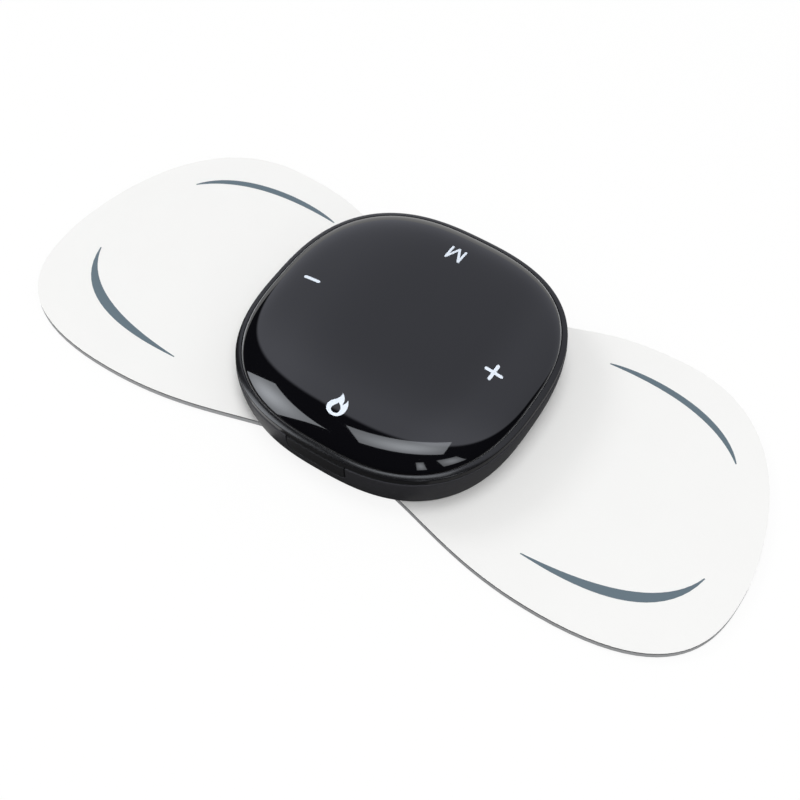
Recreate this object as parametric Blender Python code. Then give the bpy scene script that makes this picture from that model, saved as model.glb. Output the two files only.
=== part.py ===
"""Stick-on TENS unit: a rounded-square stimulator host snapped on to a butterfly gel pad.

Metres, +Z up. +X runs along the pad towards the plus key, -Y towards the charging port.
The origin lies on the standing surface, under the centre of the pad.
"""

import math

import bmesh
import bpy
from mathutils import Matrix, Vector

MM = 0.001

# Pad outline: each lobe runs waist, front crest, tip, back crest, waist
PAD_HALF_LENGTH = 87.0 * MM
PAD_HALF_DEPTH = 35.0 * MM
PAD_TIP_Y = -8.0 * MM
FRONT_CREST_FROM_TIP = 32.5 * MM
BACK_CREST_FROM_TIP = 35.0 * MM
FRONT_WAIST_DEPTH = 26.0 * MM
BACK_WAIST_DEPTH = 26.0 * MM
# Fullness: how far each curve handle reaches along its span, at the start and end of a span
FRONT_INNER_FULLNESS = (0.37, 0.46)
FRONT_OUTER_FULLNESS = (1.03, 0.35)
BACK_OUTER_FULLNESS = (0.09, 0.89)
BACK_INNER_FULLNESS = (0.50, 0.58)

# Pad layers, from the table up
LINER_THICKNESS = 0.2 * MM
GEL_THICKNESS = 0.6 * MM
FILM_THICKNESS = 0.1 * MM
COVER_THICKNESS = 0.6 * MM
LAYER_GAP = 0.05 * MM
LINER_INSET = 0.3 * MM
GEL_INSET = 0.7 * MM
FILM_INSET = 2.5 * MM
ELECTRODE_SPACING = 14.0 * MM

# Press studs between pad and host
SNAP_SPACING = 36.0 * MM
STUD_FLANGE_RADIUS = 4.4 * MM
STUD_FLANGE_THICKNESS = 0.4 * MM
STUD_NECK_RADIUS = 1.6 * MM
STUD_HEAD_RADIUS = 2.0 * MM
STUD_HEIGHT = 2.9 * MM
STUD_SHANK_SHARE = 0.45
STUD_BULGE_SHARE = 0.75
EYELET_FLANGE_RADIUS = 3.4 * MM
EYELET_FLANGE_THICKNESS = 0.25 * MM
EYELET_TUBE_RADIUS = 0.9 * MM
SOCKET_WALL = 0.9 * MM
SOCKET_LIP = 1.0 * MM
SOCKET_LIP_THICKNESS = 0.4 * MM
SOCKET_ROOF = 0.5 * MM
SOCKET_TAIL_RADIUS = 0.8 * MM
SOCKET_TAIL = 0.3 * MM
COLLAR_WALL = 1.0 * MM
COLLAR_HEIGHT = 1.0 * MM

# Host outline and lower housing
HOST_HALF = 33.1 * MM
SQUARENESS = 2.6
WALL_TAPER = 1.2 * MM
BASE_ROUND = 1.0 * MM
HOUSING_WALL = 1.6 * MM
HOUSING_FLOOR = 1.6 * MM
FLOOR_FILLET = 0.8 * MM
HOUSING_LIP_CHAMFER = 0.2 * MM

# Upper frame and its shadow gap
PARTING_GAP = 0.3 * MM
FRAME_SET_IN = 0.1 * MM
FRAME_HEIGHT = 1.6 * MM
FRAME_EDGE = 0.45 * MM
RIM_WIDTH = 1.45 * MM
RIM_RISE = 0.15 * MM
LEDGE_THICKNESS = 1.55 * MM
LEDGE_ABOVE_PARTING = 0.5 * MM
LEDGE_OVERHANG = 0.8 * MM
SKIRT_DEPTH = 2.8 * MM
SKIRT_THICKNESS = 0.9 * MM

# Domed touch panel
PANEL_GAP = 0.45 * MM
PANEL_EDGE = 0.85 * MM
PANEL_WALL = 1.4 * MM
DOME_HEIGHT = 5.45 * MM
DOME_FLATNESS = 3.4
DOME_SHOULDER = 1.35
GASKET_THICKNESS = 0.2 * MM
GASKET_GAP = 0.1 * MM
GASKET_WIDTH = 1.1 * MM

# Screws, posts and bosses
SCREW_RADIUS = 1.0 * MM
SCREW_HEAD_RADIUS = 1.9 * MM
SCREW_HEAD_HEIGHT = 1.3 * MM
SCREW_CROWN_WIDTH_SHARE = 0.8
SCREW_CROWN_HEIGHT_SHARE = 0.3
SCREW_POINT_SHARE = 0.5
SCREW_RECESS = 1.9 * MM
SCREW_BITE = 2.6 * MM
SCREW_TIP_ROOM = 0.4 * MM
PILOT_CLEARANCE = 0.15 * MM
POST_RADIUS = 3.1 * MM
BOSS_RADIUS = 2.6 * MM
POST_INSET = 3.4 * MM

# Circuit board and what sits on it
PCB_THICKNESS = 1.0 * MM
PCB_EDGE_GAP = 0.5 * MM
BATTERY_WIDTH = 24.0 * MM
BATTERY_LENGTH = 28.0 * MM
BATTERY_THICKNESS = 4.4 * MM
BATTERY_CORNER = 1.6 * MM
BATTERY_EDGE = 0.7 * MM
TRANSFORMER_SIZE = (7.0 * MM, 8.0 * MM, 4.6 * MM)
TRANSFORMER_COIL_SET_IN = 0.8 * MM
TRANSFORMER_LIMB = 2.0 * MM
INDUCTOR_RADIUS = 3.0 * MM
INDUCTOR_HEIGHT = 3.2 * MM
INDUCTOR_FLANGE = 0.8 * MM
INDUCTOR_WAIST = 0.8 * MM
MCU_SIZE = (7.0 * MM, 7.0 * MM, 1.0 * MM)
DRIVER_SIZE = (4.0 * MM, 5.0 * MM, 1.5 * MM)
CHIP_CORNER = 0.3 * MM
CHIP_EDGE = 0.2 * MM
PART_SPACING = 2.0 * MM
HEATER_LENGTH = 36.0 * MM
HEATER_THICKNESS = 0.2 * MM
HEATER_CORNER = 2.0 * MM

# Touch keys
KEY_INSET = 8.55 * MM
SPRING_RADIUS = 1.75 * MM
SPRING_WIRE = 0.5 * MM
SPRING_TURNS = 5
LED_WIDTH = 1.6 * MM
LED_DEPTH = 0.8 * MM
LED_HEIGHT = 0.6 * MM

# Charging port and its flap
USB_WIDTH = 8.9 * MM
USB_HEIGHT = 3.2 * MM
USB_LENGTH = 6.6 * MM
USB_WALL = 0.3 * MM
USB_BACK = 0.5 * MM
TONGUE_WIDTH = 6.6 * MM
TONGUE_THICKNESS = 0.7 * MM
TONGUE_SET_BACK = 1.1 * MM
PORT_SIDE_MARGIN = 2.6 * MM
PORT_FOOT_MARGIN = 0.3 * MM
PORT_CORNER = 1.5 * MM
FLAP_THICKNESS = 1.1 * MM
FLAP_TO_PORT = 0.4 * MM
PLUG_CLEARANCE = 0.45 * MM
PLUG_DEPTH = 0.5 * MM

# Clearances
CLEARANCE = 0.3 * MM
SEAT_GAP = 0.1 * MM
CUT_MARGIN = 1.0 * MM

# Facets
HOST_STEPS = 56
ROUND_STEPS = 16
CORNER_STEPS = 3
FOOT_STEPS = 3
LOBE_STEPS = 9
COIL_POINTS = 8
COIL_BEVEL_STEPS = 1
OUTER_WALL_SHARES = (0.2, 0.45, 0.7, 1.0)
INNER_WALL_SHARES = (0.6, 0.3, 0.0)
FLAP_SHARES = (0.0, 0.5, 1.0)
OUTER_DOME_SHARES = (1.0, 0.995, 0.98, 0.955, 0.92, 0.87, 0.8, 0.7, 0.55, 0.35, 0.15)
INNER_DOME_SHARES = (0.15, 0.45, 0.7, 0.85, 0.94, 0.985, 1.0)
SMOOTH_ANGLE = math.radians(30.0)

# Foot of the housing, worked in from its widest line
BASE_HALF = HOST_HALF - WALL_TAPER

# Levels of the pad
GEL_BOTTOM = LINER_THICKNESS + LAYER_GAP
GEL_TOP = GEL_BOTTOM + GEL_THICKNESS
EYELET_BOTTOM = GEL_TOP - EYELET_FLANGE_THICKNESS
FILM_BOTTOM = GEL_TOP + LAYER_GAP
FILM_TOP = FILM_BOTTOM + FILM_THICKNESS
COVER_BOTTOM = FILM_TOP + LAYER_GAP
PAD_TOP = COVER_BOTTOM + COVER_THICKNESS
STUD_BOTTOM = PAD_TOP + LAYER_GAP
STUD_TOP = PAD_TOP + STUD_HEIGHT

# Levels of the host, worked up from the pad
BASE_LEVEL = PAD_TOP + CLEARANCE
FLOOR_TOP = BASE_LEVEL + HOUSING_FLOOR
SOCKET_BOTTOM = STUD_BOTTOM + STUD_FLANGE_THICKNESS + CLEARANCE
SOCKET_LIP_BOTTOM = FLOOR_TOP + SEAT_GAP
SOCKET_CEILING = max(STUD_TOP + CLEARANCE, SOCKET_LIP_BOTTOM + SOCKET_LIP_THICKNESS)
SOCKET_TOP = SOCKET_CEILING + SOCKET_ROOF
PCB_BOTTOM = SOCKET_TOP + SOCKET_TAIL + SEAT_GAP
PCB_TOP = PCB_BOTTOM + PCB_THICKNESS
USB_BOTTOM = PCB_TOP + LAYER_GAP
USB_TOP = USB_BOTTOM + USB_HEIGHT
LEDGE_BOTTOM = USB_TOP + CLEARANCE
LEDGE_TOP = LEDGE_BOTTOM + LEDGE_THICKNESS
FRAME_BOTTOM = LEDGE_TOP - LEDGE_ABOVE_PARTING
FRAME_TOP = FRAME_BOTTOM + FRAME_HEIGHT
PARTING_LEVEL = FRAME_BOTTOM - PARTING_GAP
SKIRT_BOTTOM = FRAME_BOTTOM - SKIRT_DEPTH
PANEL_BOTTOM = LEDGE_TOP + GASKET_THICKNESS + 2.0 * GASKET_GAP
PANEL_SHOULDER = PANEL_BOTTOM + PANEL_EDGE
POST_TOP = PCB_BOTTOM - CLEARANCE
BOSS_BOTTOM = PCB_TOP + CLEARANCE
SCREW_SEAT = BASE_LEVEL + SCREW_RECESS
SCREW_HEAD_TOP = SCREW_SEAT - SEAT_GAP
SCREW_TIP = BOSS_BOTTOM + SCREW_BITE


def housing_half(level):
    """Half width of the housing's outer wall, which swells towards the parting line."""
    foot = BASE_LEVEL + BASE_ROUND
    rise = min(max((level - foot) / (PARTING_LEVEL - foot), 0.0), 1.0)
    return BASE_HALF + (HOST_HALF - BASE_HALF) * (1.0 - (1.0 - rise) ** 2)


# Widths of the host, worked in from the wall
FRAME_HALF = HOST_HALF - FRAME_SET_IN
RIM_INNER_HALF = FRAME_HALF - RIM_WIDTH
SKIRT_OUTER_HALF = housing_half(SKIRT_BOTTOM) - HOUSING_WALL - CLEARANCE
SKIRT_INNER_HALF = SKIRT_OUTER_HALF - SKIRT_THICKNESS
LEDGE_INNER_HALF = SKIRT_INNER_HALF - LEDGE_OVERHANG
PANEL_HALF = RIM_INNER_HALF - PANEL_GAP
PANEL_INNER_HALF = PANEL_HALF - PANEL_WALL
PCB_HALF = SKIRT_INNER_HALF - PCB_EDGE_GAP
POST_OFFSET = PCB_HALF * 2.0 ** (-1.0 / SQUARENESS) - POST_INSET
KEY_RADIUS = PANEL_HALF - KEY_INSET

# Press-stud widths
SNAP_X = SNAP_SPACING / 2.0
STUD_BORE_RADIUS = EYELET_TUBE_RADIUS + CLEARANCE
SOCKET_BORE_RADIUS = STUD_HEAD_RADIUS + CLEARANCE
SOCKET_RADIUS = max(SOCKET_BORE_RADIUS + SOCKET_WALL, STUD_FLANGE_RADIUS)
SOCKET_HOLE_RADIUS = SOCKET_RADIUS + CLEARANCE
SOCKET_LIP_RADIUS = SOCKET_HOLE_RADIUS + SOCKET_LIP
COLLAR_BORE_RADIUS = SOCKET_LIP_RADIUS + CLEARANCE
COLLAR_RADIUS = COLLAR_BORE_RADIUS + COLLAR_WALL

# Charging port, worked in from the wall
USB_MID_LEVEL = (USB_BOTTOM + USB_TOP) / 2.0
FLAP_BOTTOM = USB_BOTTOM - PORT_FOOT_MARGIN
FLAP_TOP = PARTING_LEVEL - CLEARANCE
FLAP_WIDTH = USB_WIDTH + 2.0 * PORT_SIDE_MARGIN
USB_MOUTH_Y = -(housing_half(FLAP_BOTTOM) - FLAP_THICKNESS - FLAP_TO_PORT)
USB_BACK_Y = USB_MOUTH_Y + USB_LENGTH
PLUG_Y = USB_MOUTH_Y + PLUG_DEPTH

SIDES = {"left": -1.0, "right": 1.0}
CORNERS = {
    "front_left": (-1.0, -1.0),
    "front_right": (1.0, -1.0),
    "back_left": (-1.0, 1.0),
    "back_right": (1.0, 1.0),
}
KEYS = {"plus": (1.0, 0.0), "minus": (-1.0, 0.0), "mode": (0.0, 1.0), "heat": (0.0, -1.0)}


def clear_scene():
    """Remove whatever the scene holds."""
    for thing in list(bpy.data.objects):
        bpy.data.objects.remove(thing, do_unlink=True)


def linear(channel):
    """One sRGB channel, 0 to 255, as a linear value."""
    value = channel / 255.0
    if value <= 0.04045:
        return value / 12.92
    return ((value + 0.055) / 1.055) ** 2.4


def finish(name, red, green, blue, roughness, metallic=0.0):
    """A plain material with the colour, roughness and metallic value of one finish."""
    material = bpy.data.materials.new(name)
    material.use_nodes = True
    shader = material.node_tree.nodes["Principled BSDF"]
    shader.inputs["Base Color"].default_value = (linear(red), linear(green), linear(blue), 1.0)
    shader.inputs["Roughness"].default_value = roughness
    shader.inputs["Metallic"].default_value = metallic
    return material


def empty(name):
    """A frame on a lift axis, which carries one moving body."""
    axis = bpy.data.objects.new(name, None)
    bpy.context.scene.collection.objects.link(axis)
    return axis


def solid(name, bm, material=None, parent=None):
    """Turn a bmesh into a named object."""
    mesh = bpy.data.meshes.new(name)
    bm.to_mesh(mesh)
    bm.free()
    piece = bpy.data.objects.new(name, mesh)
    bpy.context.scene.collection.objects.link(piece)
    if material:
        dress(piece, material)
    piece.parent = parent
    return piece


def dress(piece, material):
    """Give a finished mesh its material and smooth its round faces."""
    piece.data.materials.clear()
    piece.data.materials.append(material)
    piece.data.shade_smooth()
    piece.data.set_sharp_from_angle(angle=SMOOTH_ANGLE)


def combine(target, tool_bm, operation):
    """Cut, join or intersect a target with a tool solid."""
    tool = solid("tool", tool_bm)
    modifier = target.modifiers.new("shape", 'BOOLEAN')
    modifier.operation = operation
    modifier.solver = 'EXACT'
    modifier.object = tool
    depsgraph = bpy.context.evaluated_depsgraph_get()
    shaped = bpy.data.meshes.new_from_object(target.evaluated_get(depsgraph))
    target.modifiers.clear()
    target.data = shaped
    bpy.data.objects.remove(tool, do_unlink=True)


def cut(target, tool_bm):
    combine(target, tool_bm, 'DIFFERENCE')


def fuse(target, tool_bm):
    combine(target, tool_bm, 'UNION')


def loft(rings, capped=True):
    """A closed solid through rings of equal count, capped at its ends or joined end to end."""
    bm = bmesh.new()
    loops = [[bm.verts.new(point) for point in ring] for ring in rings]
    pairs = list(zip(loops, loops[1:]))
    if not capped:
        pairs.append((loops[-1], loops[0]))
    for near, far in pairs:
        for i in range(len(near)):
            j = (i + 1) % len(near)
            bm.faces.new((near[i], near[j], far[j], far[i]))
    if capped:
        bm.faces.new(loops[0])
        bm.faces.new(loops[-1])
    bmesh.ops.recalc_face_normals(bm, faces=bm.faces)
    return bm


def squircle(half, level):
    """A level ring in the host's rounded-square outline."""
    points = []
    for i in range(HOST_STEPS):
        angle = 2.0 * math.pi * i / HOST_STEPS
        across = math.cos(angle)
        along = math.sin(angle)
        spread = abs(across) ** SQUARENESS + abs(along) ** SQUARENESS
        reach = half / spread ** (1.0 / SQUARENESS)
        points.append(Vector((reach * across, reach * along, level)))
    return points


def squircle_solid(profile, capped=True):
    """A solid whose every level is the host's outline, from (half width, level) points."""
    return loft([squircle(half, level) for half, level in profile], capped)


def turned(profile, centre, capped=True):
    """A solid of revolution about an upright axis, from (radius, level) points."""
    rings = []
    for radius, level in profile:
        ring = []
        for i in range(ROUND_STEPS):
            angle = 2.0 * math.pi * i / ROUND_STEPS
            x = centre[0] + radius * math.cos(angle)
            y = centre[1] + radius * math.sin(angle)
            ring.append(Vector((x, y, level)))
        rings.append(ring)
    return loft(rings, capped)


def drum(radius, bottom, top, centre):
    """A plain upright cylinder."""
    return turned([(radius, bottom), (radius, top)], centre)


def rounded_rect(width, height, radius):
    """Corner-rounded rectangle about its middle, as flat (u, v) points."""
    points = []
    for quarter, (u_side, v_side) in enumerate(((1, 1), (-1, 1), (-1, -1), (1, -1))):
        for i in range(CORNER_STEPS + 1):
            angle = math.pi / 2.0 * (quarter + i / CORNER_STEPS)
            u = u_side * (width / 2.0 - radius) + radius * math.cos(angle)
            v = v_side * (height / 2.0 - radius) + radius * math.sin(angle)
            points.append((u, v))
    return points


def level_ring(points, level, centre=(0.0, 0.0)):
    """Flat points laid in a level plane."""
    return [Vector((centre[0] + u, centre[1] + v, level)) for u, v in points]


def upright_ring(points, y, mid_level):
    """Flat points stood up in a plane that faces the port side."""
    return [Vector((u, y, mid_level + v)) for u, v in points]


def slab(points, bottom, top, centre=(0.0, 0.0)):
    """A flat sheet of one outline."""
    return loft([level_ring(points, bottom, centre), level_ring(points, top, centre)])


def moulded_block(size, corner, edge, bottom, centre):
    """A block with rounded corners and a bevelled upper edge."""
    width, depth, height = size
    foot = rounded_rect(width, depth, corner)
    crown = rounded_rect(width - 2.0 * edge, depth - 2.0 * edge, corner)
    rings = [
        level_ring(foot, bottom, centre),
        level_ring(foot, bottom + height - edge, centre),
        level_ring(crown, bottom + height, centre),
    ]
    return loft(rings)


def curve_span(start, end, start_pull, end_pull):
    """Points of one cubic curve, without its last point."""
    points = []
    for i in range(LOBE_STEPS):
        t = i / LOBE_STEPS
        s = 1.0 - t
        point = s ** 3 * start + 3.0 * s * s * t * (start + start_pull)
        point = point + 3.0 * s * t * t * (end + end_pull) + t ** 3 * end
        points.append(point)
    return points


def lobe_edge():
    """The right lobe's outline, from the front waist round the tip to the back waist."""
    front_waist = Vector((0.0, -FRONT_WAIST_DEPTH))
    front_crest = Vector((PAD_HALF_LENGTH - FRONT_CREST_FROM_TIP, -PAD_HALF_DEPTH))
    tip = Vector((PAD_HALF_LENGTH, PAD_TIP_Y))
    back_crest = Vector((PAD_HALF_LENGTH - BACK_CREST_FROM_TIP, PAD_HALF_DEPTH))
    back_waist = Vector((0.0, BACK_WAIST_DEPTH))
    along = Vector((1.0, 0.0))
    across = Vector((0.0, 1.0))
    front_rise = tip.y - front_crest.y
    back_rise = back_crest.y - tip.y
    points = curve_span(
        front_waist,
        front_crest,
        along * front_crest.x * FRONT_INNER_FULLNESS[0],
        -along * front_crest.x * FRONT_INNER_FULLNESS[1],
    )
    points += curve_span(
        front_crest,
        tip,
        along * FRONT_CREST_FROM_TIP * FRONT_OUTER_FULLNESS[0],
        -across * front_rise * FRONT_OUTER_FULLNESS[1],
    )
    points += curve_span(
        tip,
        back_crest,
        across * back_rise * BACK_OUTER_FULLNESS[0],
        along * BACK_CREST_FROM_TIP * BACK_OUTER_FULLNESS[1],
    )
    points += curve_span(
        back_crest,
        back_waist,
        -along * back_crest.x * BACK_INNER_FULLNESS[0],
        along * back_crest.x * BACK_INNER_FULLNESS[1],
    )
    return points + [back_waist]


def pad_outline(inset):
    """The whole butterfly outline, moved in from the edge by an inset."""
    right = lobe_edge()
    left = [Vector((-point.x, point.y)) for point in reversed(right[1:-1])]
    edge = right + left
    points = []
    for i, point in enumerate(edge):
        before = edge[i - 1]
        after = edge[(i + 1) % len(edge)]
        run = (after - before).normalized()
        points.append((point.x - inset * run.y, point.y + inset * run.x))
    return points


def lobe_outline(inset, side):
    """One lobe of the pad, cut straight along the gap between the electrodes."""
    limit = ELECTRODE_SPACING / 2.0
    edge = [(side * x, y) for x, y in pad_outline(inset)]
    points = []
    for i, (x, y) in enumerate(edge):
        next_x, next_y = edge[(i + 1) % len(edge)]
        if x >= limit:
            points.append((side * x, y))
        if (x >= limit) != (next_x >= limit):
            share = (limit - x) / (next_x - x)
            points.append((side * limit, y + share * (next_y - y)))
    return points


def dome_level(share, shoulder, height):
    """Level of the panel's crown, at a share of its half width from the middle."""
    return shoulder + height * (1.0 - share ** DOME_FLATNESS) ** (1.0 / DOME_SHOULDER)


def build_pad(parent, finishes):
    """Liner, gel, films, cover and press studs."""
    solid("release_liner", slab(pad_outline(LINER_INSET), 0.0, LINER_THICKNESS), finishes["film"])
    cover = solid("pad_cover", slab(pad_outline(0.0), COVER_BOTTOM, PAD_TOP), None, parent)
    for side_name, side in SIDES.items():
        centre = (side * SNAP_X, 0.0)
        gel = solid("gel_" + side_name, slab(lobe_outline(GEL_INSET, side), GEL_BOTTOM, GEL_TOP))
        film_bm = slab(lobe_outline(FILM_INSET, side), FILM_BOTTOM, FILM_TOP)
        film = solid("carbon_film_" + side_name, film_bm)
        pocket_floor = EYELET_BOTTOM - SEAT_GAP
        pocket_radius = EYELET_FLANGE_RADIUS + CLEARANCE
        cut(gel, drum(pocket_radius, pocket_floor, GEL_TOP + CUT_MARGIN, centre))
        for sheet in (film, cover):
            cut(sheet, drum(STUD_BORE_RADIUS, GEL_BOTTOM, PAD_TOP + CUT_MARGIN, centre))
        for sheet, sheet_finish in ((gel, "gel"), (film, "carbon")):
            dress(sheet, finishes[sheet_finish])
            sheet.parent = parent
        build_stud(side_name, centre, parent, finishes["nickel"])
    dress(cover, finishes["foam"])


def build_stud(side_name, centre, parent, nickel):
    """A male press stud and the eyelet that rivets it through the pad."""
    flange_top = STUD_BOTTOM + STUD_FLANGE_THICKNESS
    shank_top = flange_top + (STUD_TOP - flange_top) * STUD_SHANK_SHARE
    bulge_top = flange_top + (STUD_TOP - flange_top) * STUD_BULGE_SHARE
    stud = turned(
        [
            (STUD_BORE_RADIUS, shank_top),
            (STUD_BORE_RADIUS, STUD_BOTTOM),
            (STUD_FLANGE_RADIUS, STUD_BOTTOM),
            (STUD_FLANGE_RADIUS, flange_top),
            (STUD_NECK_RADIUS, flange_top),
            (STUD_NECK_RADIUS, shank_top),
            (STUD_HEAD_RADIUS, (shank_top + bulge_top) / 2.0),
            (STUD_HEAD_RADIUS, bulge_top),
            (STUD_NECK_RADIUS, STUD_TOP),
        ],
        centre,
    )
    solid("snap_stud_" + side_name, stud, nickel, parent)
    eyelet = turned(
        [
            (EYELET_FLANGE_RADIUS, EYELET_BOTTOM),
            (EYELET_FLANGE_RADIUS, GEL_TOP),
            (EYELET_TUBE_RADIUS, GEL_TOP),
            (EYELET_TUBE_RADIUS, shank_top - CLEARANCE),
        ],
        centre,
    )
    solid("stud_eyelet_" + side_name, eyelet, nickel, parent)


def build_housing(parent, plastic):
    """The moulded tub with its posts, collars, socket holes and port notch."""
    profile = []
    for i in range(FOOT_STEPS + 1):
        turn = math.pi / 2.0 * i / FOOT_STEPS
        half = BASE_HALF - BASE_ROUND * (1.0 - math.sin(turn))
        profile.append((half, BASE_LEVEL + BASE_ROUND * (1.0 - math.cos(turn))))
    foot = BASE_LEVEL + BASE_ROUND
    lip = PARTING_LEVEL - HOUSING_LIP_CHAMFER
    wall_levels = [foot + (lip - foot) * share for share in OUTER_WALL_SHARES]
    profile += [(housing_half(level), level) for level in wall_levels]
    profile.append((housing_half(lip) - HOUSING_LIP_CHAMFER, PARTING_LEVEL))
    profile.append((housing_half(PARTING_LEVEL) - HOUSING_WALL, PARTING_LEVEL))
    inner_foot = FLOOR_TOP + FLOOR_FILLET
    for share in INNER_WALL_SHARES:
        level = inner_foot + (PARTING_LEVEL - inner_foot) * share
        profile.append((housing_half(level) - HOUSING_WALL, level))
    profile.append((housing_half(inner_foot) - HOUSING_WALL - FLOOR_FILLET, FLOOR_TOP))
    housing = solid("lower_housing", squircle_solid(profile), None, parent)

    root = BASE_LEVEL + HOUSING_FLOOR / 2.0
    for side in SIDES.values():
        centre = (side * SNAP_X, 0.0)
        fuse(housing, drum(COLLAR_RADIUS, root, FLOOR_TOP + COLLAR_HEIGHT, centre))
        collar_room = FLOOR_TOP + COLLAR_HEIGHT + CUT_MARGIN
        cut(housing, drum(COLLAR_BORE_RADIUS, FLOOR_TOP, collar_room, centre))
        cut(housing, drum(SOCKET_HOLE_RADIUS, BASE_LEVEL - CUT_MARGIN, collar_room, centre))
    for x_side, y_side in CORNERS.values():
        centre = (x_side * POST_OFFSET, y_side * POST_OFFSET)
        fuse(housing, drum(POST_RADIUS, root, POST_TOP, centre))
        screw_way = SCREW_RADIUS + CLEARANCE
        head_way = SCREW_HEAD_RADIUS + CLEARANCE
        cut(housing, drum(screw_way, BASE_LEVEL - CUT_MARGIN, POST_TOP + CUT_MARGIN, centre))
        cut(housing, drum(head_way, BASE_LEVEL - CUT_MARGIN, SCREW_SEAT, centre))
    notch_y = (-HOST_HALF - CUT_MARGIN, -housing_half(FLAP_BOTTOM) + HOUSING_WALL + CUT_MARGIN)
    cut(housing, port_prism(CLEARANCE, PARTING_LEVEL + CUT_MARGIN, notch_y))
    dress(housing, plastic)


def port_prism(grow, top, y_span):
    """The port's outline pushed through the wall: round lower corners, straight top."""
    half = FLAP_WIDTH / 2.0 + grow
    bottom = FLAP_BOTTOM - grow
    corner = PORT_CORNER + grow
    outline = [(half, top), (-half, top)]
    for quarter, side in ((2, -1.0), (3, 1.0)):
        for i in range(CORNER_STEPS + 1):
            angle = math.pi / 2.0 * (quarter + i / CORNER_STEPS)
            u = side * (half - corner) + corner * math.cos(angle)
            outline.append((u, bottom + corner + corner * math.sin(angle)))
    return loft([upright_ring(outline, y, 0.0) for y in y_span])


def build_port_cover(parent, rubber):
    """The flush flap over the port, with the plug that closes the socket's mouth."""
    profile = []
    for share in FLAP_SHARES:
        level = FLAP_BOTTOM - CUT_MARGIN + (FLAP_TOP - FLAP_BOTTOM + 2.0 * CUT_MARGIN) * share
        profile.append((housing_half(level), level))
    profile += [(half - FLAP_THICKNESS, level) for half, level in reversed(profile)]
    flap = solid("port_cover", squircle_solid(profile, capped=False))
    combine(flap, port_prism(0.0, FLAP_TOP, (-HOST_HALF - CUT_MARGIN, 0.0)), 'INTERSECT')
    plug_height = USB_HEIGHT - 2.0 * (USB_WALL + PLUG_CLEARANCE)
    plug_width = USB_WIDTH - 2.0 * (USB_WALL + PLUG_CLEARANCE)
    plug = rounded_rect(plug_width, plug_height, plug_height / 2.0)
    plug_root = -(housing_half(USB_MID_LEVEL) - FLAP_THICKNESS / 2.0)
    fuse(flap, loft([upright_ring(plug, y, USB_MID_LEVEL) for y in (plug_root, PLUG_Y)]))
    hinge = Vector((-FLAP_WIDTH / 2.0, -housing_half(USB_MID_LEVEL), USB_MID_LEVEL))
    flap.data.transform(Matrix.Translation(-hinge))
    flap.location = hinge
    flap.parent = parent
    dress(flap, rubber)
    print("port cover hinge at", [round(value, 6) for value in hinge])


def build_frame(parent, plastic):
    """The rim ring with its ledge and skirt, and a boss for each screw."""
    profile = [
        (FRAME_HALF, FRAME_BOTTOM),
        (FRAME_HALF, FRAME_TOP - FRAME_EDGE),
        (FRAME_HALF - FRAME_EDGE, FRAME_TOP),
        (RIM_INNER_HALF, FRAME_TOP + RIM_RISE),
        (RIM_INNER_HALF, LEDGE_TOP),
        (LEDGE_INNER_HALF, LEDGE_TOP),
        (LEDGE_INNER_HALF, LEDGE_BOTTOM),
        (SKIRT_INNER_HALF, LEDGE_BOTTOM),
        (SKIRT_INNER_HALF, SKIRT_BOTTOM),
        (SKIRT_OUTER_HALF, SKIRT_BOTTOM),
        (SKIRT_OUTER_HALF, FRAME_BOTTOM),
    ]
    frame = solid("upper_frame", squircle_solid(profile, capped=False), None, parent)
    diagonal = 2.0 ** (0.5 - 1.0 / SQUARENESS)
    lug_end = (SKIRT_INNER_HALF + SKIRT_OUTER_HALF) / 2.0 * diagonal
    lug_start = POST_OFFSET * math.sqrt(2.0)
    lug_top = LEDGE_TOP - SEAT_GAP
    lug_bottom = LEDGE_BOTTOM + SEAT_GAP
    for x_side, y_side in CORNERS.values():
        turn = Matrix.Rotation(math.atan2(y_side, x_side), 4, 'Z')
        reach = lug_end - lug_start
        lug_points = rounded_rect(reach, 2.0 * BOSS_RADIUS, SEAT_GAP)
        lug = slab(lug_points, lug_bottom, lug_top, ((lug_start + lug_end) / 2.0, 0.0))
        lug.transform(turn)
        fuse(frame, lug)
        centre = (x_side * POST_OFFSET, y_side * POST_OFFSET)
        fuse(frame, drum(BOSS_RADIUS, BOSS_BOTTOM, lug_top + SEAT_GAP / 2.0, centre))
        pilot = SCREW_RADIUS + PILOT_CLEARANCE
        cut(frame, drum(pilot, BOSS_BOTTOM - CUT_MARGIN, SCREW_TIP + SCREW_TIP_ROOM, centre))
    notch = rounded_rect(FLAP_WIDTH + 2.0 * CLEARANCE, SKIRT_DEPTH, SEAT_GAP)
    notch_mid = LEDGE_BOTTOM + SEAT_GAP - SKIRT_DEPTH / 2.0
    notch_span = (-HOST_HALF, -LEDGE_INNER_HALF + CUT_MARGIN)
    cut(frame, loft([upright_ring(notch, y, notch_mid) for y in notch_span]))
    dress(frame, plastic)


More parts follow.
